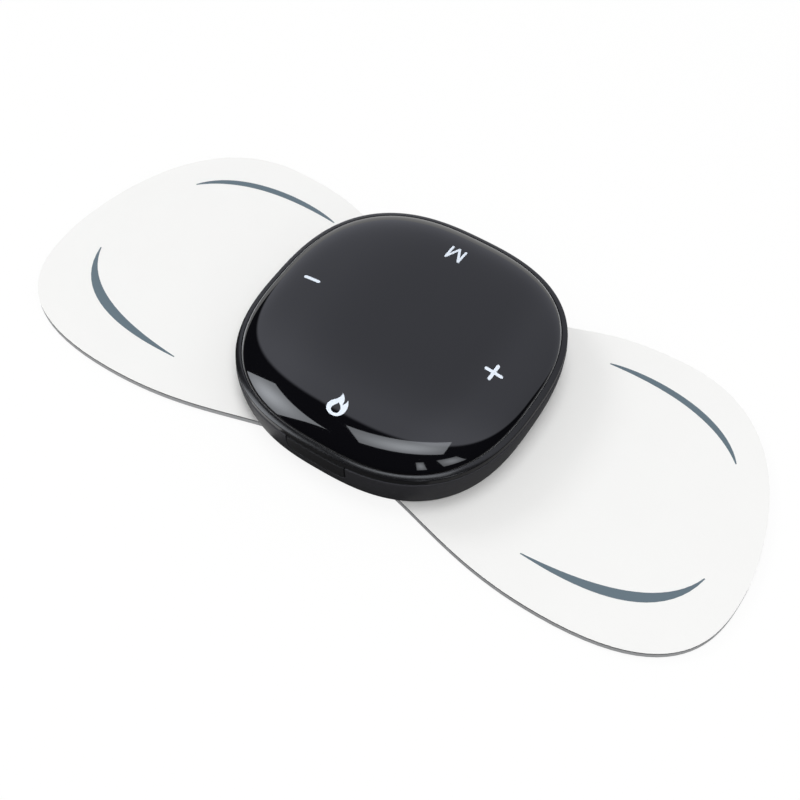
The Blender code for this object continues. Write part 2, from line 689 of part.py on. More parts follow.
def build_panel(parent, finishes):
    """The domed touch panel and the adhesive ring that seats it."""
    profile = [(PANEL_HALF, PANEL_BOTTOM)]
    for share in OUTER_DOME_SHARES:
        profile.append((PANEL_HALF * share, dome_level(share, PANEL_SHOULDER, DOME_HEIGHT)))
    for share in INNER_DOME_SHARES:
        level = dome_level(share, PANEL_SHOULDER, DOME_HEIGHT - PANEL_WALL)
        profile.append((PANEL_INNER_HALF * share, level))
    profile.append((PANEL_INNER_HALF, PANEL_BOTTOM))
    shell = squircle_shell(profile, len(OUTER_DOME_SHARES) + 1)
    solid("top_panel", shell, finishes["gloss"], parent)
    gasket_mid = (PANEL_HALF + PANEL_INNER_HALF) / 2.0
    gasket_bottom = LEDGE_TOP + GASKET_GAP
    gasket_top = gasket_bottom + GASKET_THICKNESS
    ring = [
        (gasket_mid + GASKET_WIDTH / 2.0, gasket_bottom),
        (gasket_mid + GASKET_WIDTH / 2.0, gasket_top),
        (gasket_mid - GASKET_WIDTH / 2.0, gasket_top),
        (gasket_mid - GASKET_WIDTH / 2.0, gasket_bottom),
    ]
    solid("panel_gasket", squircle_solid(ring, capped=False), finishes["gasket"], parent)


def squircle_shell(profile, outer_count):
    """A bowl turned over: outer rings, inner rings, a cap on each crown and a closed foot."""
    bm = bmesh.new()
    loops = []
    for half, level in profile:
        loops.append([bm.verts.new(point) for point in squircle(half, level)])
    outer = loops[:outer_count]
    inner = loops[outer_count:]
    pairs = list(zip(outer, outer[1:])) + list(zip(inner, inner[1:])) + [(inner[-1], outer[0])]
    for near, far in pairs:
        for i in range(HOST_STEPS):
            j = (i + 1) % HOST_STEPS
            bm.faces.new((near[i], near[j], far[j], far[i]))
    bm.faces.new(outer[-1])
    bm.faces.new(inner[0])
    bmesh.ops.recalc_face_normals(bm, faces=bm.faces)
    return bm


def build_screws(parent, nickel):
    """Four pan-head screws, driven from below."""
    head_bottom = SCREW_HEAD_TOP - SCREW_HEAD_HEIGHT
    crown_level = head_bottom + SCREW_HEAD_HEIGHT * SCREW_CROWN_HEIGHT_SHARE
    for corner, (x_side, y_side) in CORNERS.items():
        centre = (x_side * POST_OFFSET, y_side * POST_OFFSET)
        profile = [
            (SCREW_HEAD_RADIUS * SCREW_CROWN_WIDTH_SHARE, head_bottom),
            (SCREW_HEAD_RADIUS, crown_level),
            (SCREW_HEAD_RADIUS, SCREW_HEAD_TOP),
            (SCREW_RADIUS, SCREW_HEAD_TOP),
            (SCREW_RADIUS, SCREW_TIP - SCREW_RADIUS),
            (SCREW_RADIUS * SCREW_POINT_SHARE, SCREW_TIP),
        ]
        solid("screw_" + corner, turned(profile, centre), nickel, parent)


def build_sockets(parent, nickel):
    """Female press-stud sockets, held by their lips on the tub's floor."""
    for side_name, side in SIDES.items():
        profile = [
            (SOCKET_BORE_RADIUS, SOCKET_CEILING),
            (SOCKET_BORE_RADIUS, SOCKET_BOTTOM),
            (SOCKET_RADIUS, SOCKET_BOTTOM),
            (SOCKET_RADIUS, SOCKET_LIP_BOTTOM),
            (SOCKET_LIP_RADIUS, SOCKET_LIP_BOTTOM),
            (SOCKET_LIP_RADIUS, SOCKET_LIP_BOTTOM + SOCKET_LIP_THICKNESS),
            (SOCKET_BORE_RADIUS + SOCKET_WALL, SOCKET_LIP_BOTTOM + SOCKET_LIP_THICKNESS),
            (SOCKET_BORE_RADIUS + SOCKET_WALL, SOCKET_TOP),
            (SOCKET_TAIL_RADIUS, SOCKET_TOP),
            (SOCKET_TAIL_RADIUS, SOCKET_TOP + SOCKET_TAIL),
        ]
        solid("snap_socket_" + side_name, turned(profile, (side * SNAP_X, 0.0)), nickel, parent)


def build_board(parent, finishes):
    """Circuit board, battery, heater film and the larger parts soldered to the board."""
    board = solid("main_pcb", squircle_solid([(PCB_HALF, PCB_BOTTOM), (PCB_HALF, PCB_TOP)]))
    for x_side, y_side in CORNERS.values():
        centre = (x_side * POST_OFFSET, y_side * POST_OFFSET)
        way = SCREW_RADIUS + CLEARANCE
        cut(board, drum(way, PCB_BOTTOM - CUT_MARGIN, PCB_TOP + CUT_MARGIN, centre))
    board.parent = parent
    dress(board, finishes["board"])

    battery_size = (BATTERY_WIDTH, BATTERY_LENGTH, BATTERY_THICKNESS)
    battery_bottom = PCB_TOP + CLEARANCE
    pouch = moulded_block(battery_size, BATTERY_CORNER, BATTERY_EDGE, battery_bottom, (0.0, 0.0))
    solid("battery", pouch, finishes["pouch"], parent)

    heater_width = 2.0 * (SNAP_X - COLLAR_RADIUS - CLEARANCE)
    heater_points = rounded_rect(heater_width, HEATER_LENGTH, HEATER_CORNER)
    heater_bottom = FLOOR_TOP + SEAT_GAP
    heater = slab(heater_points, heater_bottom, heater_bottom + HEATER_THICKNESS)
    solid("heater_film", heater, finishes["polyimide"], parent)

    beside_battery = BATTERY_WIDTH / 2.0 + PART_SPACING
    beside_key = SPRING_RADIUS + SPRING_WIRE + PART_SPACING
    part_bottom = PCB_TOP + SEAT_GAP
    build_transformer(part_bottom, beside_battery, beside_key, parent, finishes["ferrite"])
    build_inductor(part_bottom, beside_battery, beside_key, parent, finishes["ferrite"])
    for name, size, x_side, y_side in (
        ("mcu_chip", MCU_SIZE, 1.0, 1.0),
        ("output_driver", DRIVER_SIZE, -1.0, -1.0),
    ):
        x = x_side * (beside_battery + size[0] / 2.0)
        y = y_side * (beside_key + size[1] / 2.0)
        chip = moulded_block(size, CHIP_CORNER, CHIP_EDGE, part_bottom, (x, y))
        solid(name, chip, finishes["chip"], parent)


def build_transformer(bottom, beside_battery, beside_key, parent, ferrite):
    """Output transformer: an H-shaped core with its winding round the middle limb."""
    width, depth, height = TRANSFORMER_SIZE
    centre = (-beside_battery - width / 2.0, beside_key + depth / 2.0)
    winding_depth = depth - 2.0 * TRANSFORMER_LIMB
    core = solid("transformer", moulded_block(
        TRANSFORMER_SIZE, CHIP_CORNER, CHIP_EDGE, bottom, centre))
    for side in SIDES.values():
        x = centre[0] + side * width / 2.0
        window = rounded_rect(2.0 * TRANSFORMER_COIL_SET_IN, winding_depth, CHIP_EDGE)
        cut(core, slab(window, bottom - CUT_MARGIN, bottom + height + CUT_MARGIN, (x, centre[1])))
    core.parent = parent
    dress(core, ferrite)


def build_inductor(bottom, beside_battery, beside_key, parent, ferrite):
    """Boost inductor: a drum core with two flanges."""
    centre = (beside_battery + INDUCTOR_RADIUS, -beside_key - INDUCTOR_RADIUS)
    top = bottom + INDUCTOR_HEIGHT
    profile = [
        (INDUCTOR_RADIUS, bottom),
        (INDUCTOR_RADIUS, bottom + INDUCTOR_FLANGE),
        (INDUCTOR_RADIUS - INDUCTOR_WAIST, bottom + INDUCTOR_FLANGE),
        (INDUCTOR_RADIUS - INDUCTOR_WAIST, top - INDUCTOR_FLANGE),
        (INDUCTOR_RADIUS, top - INDUCTOR_FLANGE),
        (INDUCTOR_RADIUS, top),
    ]
    solid("boost_inductor", turned(profile, centre), ferrite, parent)


def build_keys(parent, finishes):
    """A touch spring and a light under each of the four key marks."""
    reach = (KEY_RADIUS + SPRING_RADIUS + SPRING_WIRE) / PANEL_INNER_HALF
    ceiling = dome_level(reach, PANEL_SHOULDER, DOME_HEIGHT - PANEL_WALL)
    bottom = PCB_TOP + SEAT_GAP + SPRING_WIRE / 2.0
    top = ceiling - CLEARANCE - SPRING_WIRE / 2.0
    for key, (x_side, y_side) in KEYS.items():
        centre = (x_side * KEY_RADIUS, y_side * KEY_RADIUS)
        coil = touch_spring("touch_spring_" + key, centre, bottom, top, finishes["spring"])
        coil.parent = parent
        lamp_size = (LED_WIDTH, LED_DEPTH, LED_HEIGHT)
        lamp = moulded_block(lamp_size, CHIP_EDGE, CHIP_EDGE, PCB_TOP + SEAT_GAP, centre)
        solid("key_led_" + key, lamp, finishes["lamp"], parent)
    turn_gap = (top - bottom) / SPRING_TURNS - SPRING_WIRE
    print("least gap between spring turns, mm:", round(turn_gap / MM, 3))


def touch_spring(name, centre, bottom, top, metal):
    """One coil from the board to the underside of the panel."""
    wire = bpy.data.curves.new(name, 'CURVE')
    wire.dimensions = '3D'
    wire.bevel_depth = SPRING_WIRE / 2.0
    wire.bevel_resolution = COIL_BEVEL_STEPS
    wire.use_fill_caps = True
    wire.materials.append(metal)
    count = SPRING_TURNS * COIL_POINTS + 1
    run = wire.splines.new('POLY')
    run.points.add(count - 1)
    for i in range(count):
        angle = 2.0 * math.pi * i / COIL_POINTS
        x = centre[0] + SPRING_RADIUS * math.cos(angle)
        y = centre[1] + SPRING_RADIUS * math.sin(angle)
        z = bottom + (top - bottom) * i / (count - 1)
        run.points[i].co = (x, y, z, 1.0)
    coil = bpy.data.objects.new(name, wire)
    bpy.context.scene.collection.objects.link(coil)
    return coil


def build_port(parent, finishes):
    """The charging socket: a pressed shell, open at the mouth, and its contact tongue."""
    outer = rounded_rect(USB_WIDTH, USB_HEIGHT, USB_HEIGHT / 2.0 - SEAT_GAP)
    mouth_width = USB_WIDTH - 2.0 * USB_WALL
    mouth_height = USB_HEIGHT - 2.0 * USB_WALL
    inner = rounded_rect(mouth_width, mouth_height, mouth_height / 2.0 - SEAT_GAP)
    rings = [
        upright_ring(outer, USB_BACK_Y, USB_MID_LEVEL),
        upright_ring(outer, USB_MOUTH_Y, USB_MID_LEVEL),
        upright_ring(inner, USB_MOUTH_Y, USB_MID_LEVEL),
        upright_ring(inner, USB_BACK_Y - USB_BACK, USB_MID_LEVEL),
    ]
    solid("usb_shell", loft(rings), finishes["nickel"], parent)
    tongue = rounded_rect(TONGUE_WIDTH, TONGUE_THICKNESS, SEAT_GAP)
    tongue_span = (USB_MOUTH_Y + TONGUE_SET_BACK, USB_BACK_Y - USB_BACK - SEAT_GAP)
    blade = loft([upright_ring(tongue, y, USB_MID_LEVEL) for y in tongue_span])
    solid("usb_tongue", blade, finishes["chip"], parent)


def main():
    clear_scene()
    finishes = {
        "film": finish("clear release film", 226, 230, 232, 0.2),
        "gel": finish("hydrogel", 196, 200, 200, 0.3),
        "carbon": finish("carbon film", 38, 38, 40, 0.6),
        "foam": finish("white foam sheet", 240, 240, 239, 0.8),
        "nickel": finish("nickel plate", 196, 194, 188, 0.25, 1.0),
        "abs": finish("black moulded ABS", 40, 40, 42, 0.5),
        "rubber": finish("black silicone rubber", 44, 44, 46, 0.65),
        "gloss": finish("gloss black polycarbonate", 12, 12, 14, 0.06),
        "gasket": finish("adhesive ring", 24, 24, 24, 0.7),
        "board": finish("green solder mask", 22, 70, 44, 0.4),
        "pouch": finish("foil battery pouch", 186, 188, 190, 0.35, 0.6),
        "polyimide": finish("polyimide heater film", 176, 108, 32, 0.35),
        "ferrite": finish("ferrite core", 52, 50, 50, 0.6),
        "chip": finish("epoxy chip", 26, 26, 28, 0.5),
        "spring": finish("spring steel", 178, 178, 176, 0.3, 1.0),
        "lamp": finish("white light chip", 236, 232, 210, 0.4),
    }
    pad = empty("pad_lift_axis")
    host = empty("host_lift_axis")
    host.parent = pad
    build_pad(pad, finishes)
    build_housing(host, finishes["abs"])
    build_port_cover(host, finishes["rubber"])
    build_frame(host, finishes["abs"])
    build_panel(host, finishes)
    build_screws(host, finishes["nickel"])
    build_sockets(host, finishes["nickel"])
    build_board(host, finishes)
    build_keys(host, finishes)
    build_port(host, finishes)


main()
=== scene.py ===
"""Looks of the stick-on TENS unit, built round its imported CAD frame.

Metres, in the frame of the CAD model: +X towards the plus key, -Y towards the charging port, +Z up.
"""

import math

import bpy
from mathutils import Matrix, Vector


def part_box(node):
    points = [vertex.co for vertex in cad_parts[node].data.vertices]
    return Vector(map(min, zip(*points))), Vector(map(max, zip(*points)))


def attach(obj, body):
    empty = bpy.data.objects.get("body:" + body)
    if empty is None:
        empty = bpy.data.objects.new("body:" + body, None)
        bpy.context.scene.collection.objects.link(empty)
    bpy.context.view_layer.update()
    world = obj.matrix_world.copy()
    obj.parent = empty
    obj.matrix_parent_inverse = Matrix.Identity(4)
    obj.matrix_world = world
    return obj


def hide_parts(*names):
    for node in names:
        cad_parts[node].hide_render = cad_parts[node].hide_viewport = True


bl_info = {
    "name": "Stick-on TENS unit",
    "version": (1, 0, 0),
    "blender": (4, 5, 0),
    "location": "3D View > Sidebar > TENS unit",
    "description": "Dresses the CAD model of a stick-on TENS unit and sets up its studio",
    "category": "Object",
}

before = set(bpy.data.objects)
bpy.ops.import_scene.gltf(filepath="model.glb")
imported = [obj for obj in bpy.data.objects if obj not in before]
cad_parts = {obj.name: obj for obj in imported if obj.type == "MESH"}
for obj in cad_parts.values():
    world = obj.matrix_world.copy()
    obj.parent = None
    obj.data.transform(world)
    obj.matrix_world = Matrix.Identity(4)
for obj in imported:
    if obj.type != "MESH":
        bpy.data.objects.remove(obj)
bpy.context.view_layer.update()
MM = 0.001

PAD_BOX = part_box("pad_cover")
LINER_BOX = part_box("release_liner")
GEL_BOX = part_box("gel_right")
FILM_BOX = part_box("carbon_film_right")
STUD_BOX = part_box("snap_stud_right")
EYELET_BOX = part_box("stud_eyelet_right")
SOCKET_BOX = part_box("snap_socket_right")
HOUSING_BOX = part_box("lower_housing")
FLAP_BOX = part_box("port_cover")
RIM_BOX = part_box("upper_frame")
PANEL_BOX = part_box("top_panel")
SCREW_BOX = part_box("screw_back_right")


def linear(hex_text):
    """An sRGB hex colour as linear red, green, blue and alpha."""
    channels = []
    for i in (0, 2, 4):
        value = int(hex_text[i:i + 2], 16) / 255.0
        channels.append(value / 12.92 if value <= 0.04045 else ((value + 0.055) / 1.055) ** 2.4)
    return (*channels, 1.0)


def number(name, text, default, **kind):
    """A number that a user may change."""
    return bpy.props.FloatProperty(name=name, description=text, default=default, **kind)


def length(name, text, metres):
    """A size that a user may change."""
    return number(name, text, metres, unit='LENGTH')


def angle(name, text, degrees):
    """An angle that a user may change."""
    return number(name, text, math.radians(degrees), subtype='ANGLE')


def colour(name, text, hex_text):
    """A colour that a user may change."""
    return bpy.props.FloatVectorProperty(
        name=name, description=text, size=4, subtype='COLOR', min=0.0, max=1.0, default=linear(hex_text)
    )


class TensPadSettings(bpy.types.PropertyGroup):
    """Sizes and colours of the electrode pad."""

    half_length: length("Half length", "From the middle to a lobe's tip", PAD_BOX[1].x)
    half_depth: length("Half depth", "From the middle to a lobe's crest", PAD_BOX[1].y)
    tip_y: length("Tip offset", "How far the tips lie from the middle line", -8.0 * MM)
    front_crest: length("Front crest", "From the tip back to the front crest", 32.5 * MM)
    back_crest: length("Back crest", "From the tip back to the back crest", 35.0 * MM)
    waist: length("Waist", "Half depth of the pad under the host", 26.0 * MM)
    edge: length("Edge", "Roundness of the cut edges", 0.09 * MM)
    roll: length("Roll", "Width of the cover's edge that is rolled down", 0.26 * MM)
    shade_band_depth: length("Shade band depth", "Height of the grey core at the cover's edge", 0.45 * MM)
    print_height: length("Print height", "Thickness of the printed ink", 0.02 * MM)
    print_shift: length("Print shift", "How far the print sits off the middle of the pad", 0.6 * MM)
    print_turn: angle("Print turn", "How far the print sits turned on the pad", -0.3)
    foam: colour("Foam", "Printed face of the cover sheet", "EEEEED")
    # Greys of the cover's side faces: painted shade
    core: colour("Edge shade", "Foam core that shows at the cover's edge", "747577")
    rolled: colour("Rolled edge", "Paler painted shade on the cover's rolled edge", "C8C9CB")
    ink: colour("Print", "Crescents printed on the cover", "586871")
    gel: colour("Gel", "Hydrogel electrodes", "B4B8B8")
    film: colour("Film", "Release film", "E4E8EA")


class TensHostSettings(bpy.types.PropertyGroup):
    """Sizes and colours of the host."""

    half: length("Half width", "Widest half width of the housing", HOUSING_BOX[1].x)
    taper: length("Wall taper", "How far the wall draws in towards its foot", 1.2 * MM)
    squareness: number("Squareness", "Power of the rounded-square outline", 2.6)
    foot_round: length("Foot round", "Radius of the housing's lower edge", 1.0 * MM)
    wall: length("Wall", "Thickness of the housing's wall and floor", 1.6 * MM)
    rim_width: length("Rim width", "Width of the rim round the panel", 1.16 * MM)
    panel_half: length("Panel half width", "Half width of the touch panel", 31.68 * MM)
    rim_round: length("Rim round", "Radius of the rim's outer edge", 0.22 * MM)
    dome: length("Dome", "Rise of the panel above its shoulder", 5.45 * MM)
    dome_flatness: number("Dome flatness", "Power that keeps the crown flat", 3.4)
    dome_shoulder: number("Dome shoulder", "Power that rounds the shoulder", 1.35)
    panel: colour("Panel", "Touch panel", "07070A")
    # Colour of the painted highlight along the panel's edge
    panel_edge_highlight: colour("Panel edge highlight", "Painted highlight on the touch panel's clear edge", "E4E6EA")
    plastic: colour("Plastic", "Housing", "242427")
    rim: colour("Rim", "Rim frame", "131315")
    rubber: colour("Rubber", "Port flap", "1C1C1E")
    mark: colour("Marks", "Key marks", "DDE6F1")


class TensStageSettings(bpy.types.PropertyGroup):
    """The studio round the object."""

    azimuth: angle("Azimuth", "Camera's turn about the object", 33.027)
    elevation: angle("Elevation", "Camera's height above the horizon", 56.201)
    distance: length("Distance", "From the camera to its target", 312.06 * MM)
    target_x: length("Target X", "Camera's target", 4.176 * MM)
    target_y: length("Target Y", "Camera's target", -7.366 * MM)
    lens: number("Lens", "Focal length in millimetres on a 36 mm sensor", 64.85)
    backdrop: number("Backdrop", "Brightness of the white sheet behind the object, as gloss shows it", 1.0)
    fill: number("Fill", "Brightness of the even light on matt faces", 0.38)
    floor: colour("Floor", "Paper the object lies on", "F8F8F7")


# Facets round the outlines
HOST_STEPS = 192
ROUND_STEPS = 48
LOBE_STEPS = 26
SMOOTH = math.radians(32.0)  # blunter edges are shaded smooth
SHARP = math.radians(35.0)  # sharper edges are rounded
BROAD = 100.0 * MM * MM  # flat faces larger than this take no soft shading from their edges

# The CAD model's own places and gaps that the visible pieces repeat
SIDES = {"left": -1.0, "right": 1.0}
KEYS = ("plus", "minus", "mode", "heat")
SNAP_X = (STUD_BOX[0].x + STUD_BOX[1].x) / 2.0
SCREW_X = (SCREW_BOX[0].x + SCREW_BOX[1].x) / 2.0
PORT_CLEARANCE = 0.3 * MM
INK_LIFT = 0.005 * MM  # keeps print off the face under it
MARK_LIFT = 0.004 * MM


def mode(name):
    """Go to edit mode or object mode."""
    bpy.ops.object.mode_set(mode=name)


def settle():
    """Back to object mode with nothing selected."""
    if bpy.context.mode != 'OBJECT':
        mode('OBJECT')
    bpy.ops.object.select_all(action='DESELECT')


def take(piece):
    """Make one piece the selected and active one."""
    settle()
    piece.select_set(True)
    bpy.context.view_layer.objects.active = piece


def start_ring(name, points):
    """A closed ring of edges: a circle primitive with its points set on an outline, left in edit mode."""
    settle()
    bpy.ops.mesh.primitive_circle_add(vertices=len(points), radius=1.0, fill_type='NOTHING')
    piece = bpy.context.object
    piece.name = name
    piece.data.name = name
    for vertex, point in zip(piece.data.vertices, points):
        vertex.co = point
    mode('EDIT')
    bpy.ops.mesh.select_mode(type='VERT')
    bpy.ops.mesh.select_all(action='SELECT')
    return piece


def stack_rings(name, outline, profile, joined=False):
    """Extrude and scale a ring through (half width, level) steps, then cap it or join its ends."""
    half, level = profile[0]
    piece = start_ring(name, [(half * x, half * y, level) for x, y in outline])
    for (near, low), (far, high) in zip(profile, profile[1:]):
        bpy.ops.mesh.extrude_region_move(TRANSFORM_OT_translate={"value": (0.0, 0.0, high - low)})
        share = far / near
        bpy.ops.transform.resize(value=(share, share, 1.0), center_override=(0.0, 0.0, 0.0))
    if joined:
        bpy.ops.mesh.select_all(action='DESELECT')
        bpy.ops.mesh.select_non_manifold()
        bpy.ops.mesh.bridge_edge_loops()
    face_out(capped=not joined)
    return piece


def stack_outlines(name, rings):
    """Extrude a ring from outline to outline and cap its ends."""
    piece = start_ring(name, rings[0])
    for ring in rings[1:]:
        bpy.ops.mesh.extrude_region_move()
        mode('OBJECT')
        for vertex, point in zip(list(piece.data.vertices)[-len(ring):], ring):
            vertex.co = point
        mode('EDIT')
    face_out(capped=True)
    return piece


def pull(name, points, offset):
    """A ring filled and pulled through an offset."""
    piece = start_ring(name, points)
    bpy.ops.mesh.edge_face_add()
    bpy.ops.mesh.extrude_region_move(TRANSFORM_OT_translate={"value": offset})
    face_out()
    return piece


def plate(name, outline, bottom, top):
    """A flat sheet: an outline filled and pulled up to its thickness."""
    return pull(name, [(x, y, bottom) for x, y in outline], (0.0, 0.0, top - bottom))


def face_out(capped=False):
    """Cap the open ends if asked, turn every face outwards and leave edit mode."""
    bpy.ops.mesh.select_all(action='SELECT')
    if capped:
        bpy.ops.mesh.fill_holes(sides=0)
        bpy.ops.mesh.select_all(action='SELECT')
    bpy.ops.mesh.normals_make_consistent(inside=False)
    mode('OBJECT')


def apply_modifier(piece, kind, **settings):
    """Add one modifier with its settings and apply it."""
    take(piece)
    bpy.ops.object.modifier_add(type=kind)
    modifier = piece.modifiers[-1]
    for key, value in settings.items():
        setattr(modifier, key, value)
    bpy.ops.object.modifier_apply(modifier=modifier.name)


def carve(piece, cutter, operation='DIFFERENCE'):
    """Cut, join or intersect a piece with a cutter, which is then thrown away."""
    apply_modifier(piece, 'BOOLEAN', operation=operation, solver='EXACT', object=cutter)
    bpy.data.objects.remove(cutter, do_unlink=True)


def shift(piece, x, y):
    """Move a piece within its mesh."""
    piece.data.transform(Matrix.Translation((x, y, 0.0)))


def round_cutter(radius, bottom, top, centre):
    """A drill: an upright cylinder."""
    cutter = stack_rings("drill", circle(), [(radius, bottom), (radius, top)])
    shift(cutter, *centre)
    return cutter


def soften(piece, width, segments=2):
    """Round the sharp edges."""
    apply_modifier(piece, 'BEVEL', width=width, segments=segments, limit_method='ANGLE', angle_limit=SHARP)


def dress(piece, material, body, slot, *nodes):
    """Give a finished piece its material and its body, and hide the CAD nodes that it stands for."""
    piece.data.materials.clear()
    piece.data.materials.append(material)
    take(piece)
    bpy.ops.object.shade_smooth_by_angle(angle=SMOOTH)
    for polygon in piece.data.polygons:
        if polygon.area > BROAD:
            polygon.use_smooth = False
    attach(piece, body)
    if nodes:
        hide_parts(*nodes)
    return piece


def copy_at(piece, name, x, y):
    """A copy with its own mesh, moved within that mesh."""
    take(piece)
    bpy.ops.object.duplicate(linked=False)
    twin = bpy.context.object
    twin.name = name
    twin.data.name = name
    shift(twin, x, y)
    return twin


def circle(steps=ROUND_STEPS):
    """Points of a unit circle."""
    turns = [2.0 * math.pi * i / steps for i in range(steps)]
    return [(math.cos(turn), math.sin(turn)) for turn in turns]


def squircle():
    """Points of the host's rounded-square outline, of unit half width."""
    power = bpy.context.scene.tens_host.squareness
    points = []
    for x, y in circle(HOST_STEPS):
        reach = (abs(x) ** power + abs(y) ** power) ** (-1.0 / power)
        points.append((reach * x, reach * y))
    return points


def arc(centre, radius, start, end, steps):
    """Profile points on a quarter turn or less, angles in degrees from outwards to up."""
    points = []
    for i in range(steps + 1):
        turn = math.radians(start + (end - start) * i / steps)
        points.append((centre[0] + radius * math.cos(turn), centre[1] + radius * math.sin(turn)))
    return points


def cubic(start, start_handle, end_handle, end, steps):
    """Points of one cubic curve, without its last point."""
    points = []
    for i in range(steps):
        t = i / steps
        s = 1.0 - t
        weights = (s ** 3, 3.0 * s * s * t, 3.0 * s * t * t, t ** 3)
        terms = [w * Vector(p) for w, p in zip(weights, (start, start_handle, end_handle, end))]
        points.append(sum(terms, Vector((0.0, 0.0))))
    return points


def chain(knots, steps):
    """Points of cubic curves in a row: an end, two handles, the next end and so on, without the last end."""
    return [point for i in range(0, len(knots) - 1, 3) for point in cubic(*knots[i:i + 4], steps)]


def pad_outline(inset):
    """The butterfly outline, moved in from the pad's edge."""
    pad = bpy.context.scene.tens_pad
    reach, depth, waist, tip_y = pad.half_length, pad.half_depth, pad.waist, pad.tip_y
    front_x = reach - pad.front_crest
    back_x = reach - pad.back_crest
    knots = (
        (0.0, -waist), (0.37 * front_x, -waist), (0.54 * front_x, -depth),
        (front_x, -depth), (front_x + 1.03 * pad.front_crest, -depth),
        (reach, tip_y - 0.35 * (tip_y + depth)), (reach, tip_y), (reach, tip_y + 0.09 * (depth - tip_y)),
        (back_x + 0.89 * pad.back_crest, depth), (back_x, depth), (0.5 * back_x, depth),
        (0.58 * back_x, waist), (0.0, waist),
    )
    right = chain(knots, LOBE_STEPS)
    edge = right + [Vector(knots[-1])] + [Vector((-p.x, p.y)) for p in reversed(right[1:])]
    limit = reach - inset
    points = []
    for i, point in enumerate(edge):
        run = (edge[(i + 1) % len(edge)] - edge[i - 1]).normalized()
        points.append((max(-limit, min(limit, point.x - inset * run.y)), point.y + inset * run.x))
    return points


def lobe(name, side, box):
    """A sheet in one lobe of the pad, cut straight along the strip between the electrodes."""
    limit = box[0].x
    inset = bpy.context.scene.tens_pad.half_length - box[1].x
    edge = [(side * x, y) for x, y in pad_outline(inset)]
    points = []
    for i, (x, y) in enumerate(edge):
        next_x, next_y = edge[(i + 1) % len(edge)]
        if x >= limit:
            points.append((side * x, y))
        if (x >= limit) != (next_x >= limit):
            share = (limit - x) / (next_x - x)
            points.append((side * limit, y + share * (next_y - y)))
    return plate(name, points, box[0].z, box[1].z)


def area_of(outline):
    """Area inside a closed outline."""
    pairs = zip(outline, outline[1:] + outline[:1])
    return abs(sum(a[0] * b[1] - b[0] * a[1] for a, b in pairs)) / 2.0


def housing_half(level):
    """Half width of the housing's outer wall at a level."""
    host = bpy.context.scene.tens_host
    foot = HOUSING_BOX[0].z + host.foot_round
    rise = min(max((level - foot) / (HOUSING_BOX[1].z - foot), 0.0), 1.0)
    return host.half - host.taper * (1.0 - rise) ** 2


def dome_level(x, y):
    """Level of the panel's crown above a point."""
    host = bpy.context.scene.tens_host
    power = host.squareness
    share = (abs(x) ** power + abs(y) ** power) ** (1.0 / power) / host.panel_half
    rise = (1.0 - share ** host.dome_flatness) ** (1.0 / host.dome_shoulder)
    return PANEL_BOX[1].z - host.dome * (1.0 - rise)


def node(tree, kind, links=None, **settings):
    """Add one shader node with its settings, values and links."""
    made = tree.nodes.new(kind)
    for key, value in settings.items():
        setattr(made, key, value)
    for socket, value in (links or {}).items():
        if isinstance(value, bpy.types.NodeSocket):
            tree.links.new(value, made.inputs[socket])
        else:
            made.inputs[socket].default_value = value
    return made


def calc(tree, operation, *values):
    """Add one math node and give its result."""
    return node(tree, "ShaderNodeMath", dict(enumerate(values)), operation=operation).outputs[0]


def fade(tree, value, start, end, low, high):
    """Go softly from low to high while a value goes from start to end."""
    links = {"Value": value, "From Min": start, "From Max": end, "To Min": low, "To Max": high}
    return node(tree, "ShaderNodeMapRange", links, interpolation_type='SMOOTHSTEP').outputs["Result"]


def mix(tree, share, first, second):
    """Add one colour mix and give its result."""
    return node(tree, "ShaderNodeMix", {"Factor": share, 6: first, 7: second}, data_type='RGBA').outputs[2]


def finish(name, base, spread, roughness, grain, depth, patch=12.0, **sockets):
    """A material with patchy colour and roughness, and a fine grain in its surface.

    base is the colour, spread how much lighter its patches are, roughness its lowest and highest value,
    grain, depth and patch the grain's width and depth and the patches' width in mm, and sockets further
    values of the shader.
    """
    material = bpy.data.materials.new(name)
    material.use_nodes = True
    tree = material.node_tree
    shader = tree.nodes["Principled BSDF"]
    place = node(tree, "ShaderNodeTexCoord").outputs["Object"]
    patches, tooth = (
        node(
            tree, "ShaderNodeTexNoise", {"Vector": place, "Scale": 1.0 / (width * MM), "Detail": detail}
        ).outputs["Fac"]
        for width, detail in ((patch, 3.0), (grain, 2.0))
    )
    lighter = tuple(min(channel * (1.0 + spread), 1.0) for channel in base[:3]) + (1.0,)
    tint = mix(tree, patches, tuple(base), lighter)
    rough = node(
        tree, "ShaderNodeMapRange", {"Value": patches, "To Min": roughness[0], "To Max": roughness[1]}
    ).outputs["Result"]
    bump = node(
        tree, "ShaderNodeBump", {"Height": tooth, "Strength": 0.6, "Distance": depth * MM}
    ).outputs["Normal"]
    tree.links.new(tint, shader.inputs["Base Color"])
    tree.links.new(rough, shader.inputs["Roughness"])
    tree.links.new(bump, shader.inputs["Normal"])
    for socket, value in sockets.items():
        shader.inputs[socket.replace("_", " ")].default_value = value
    return material


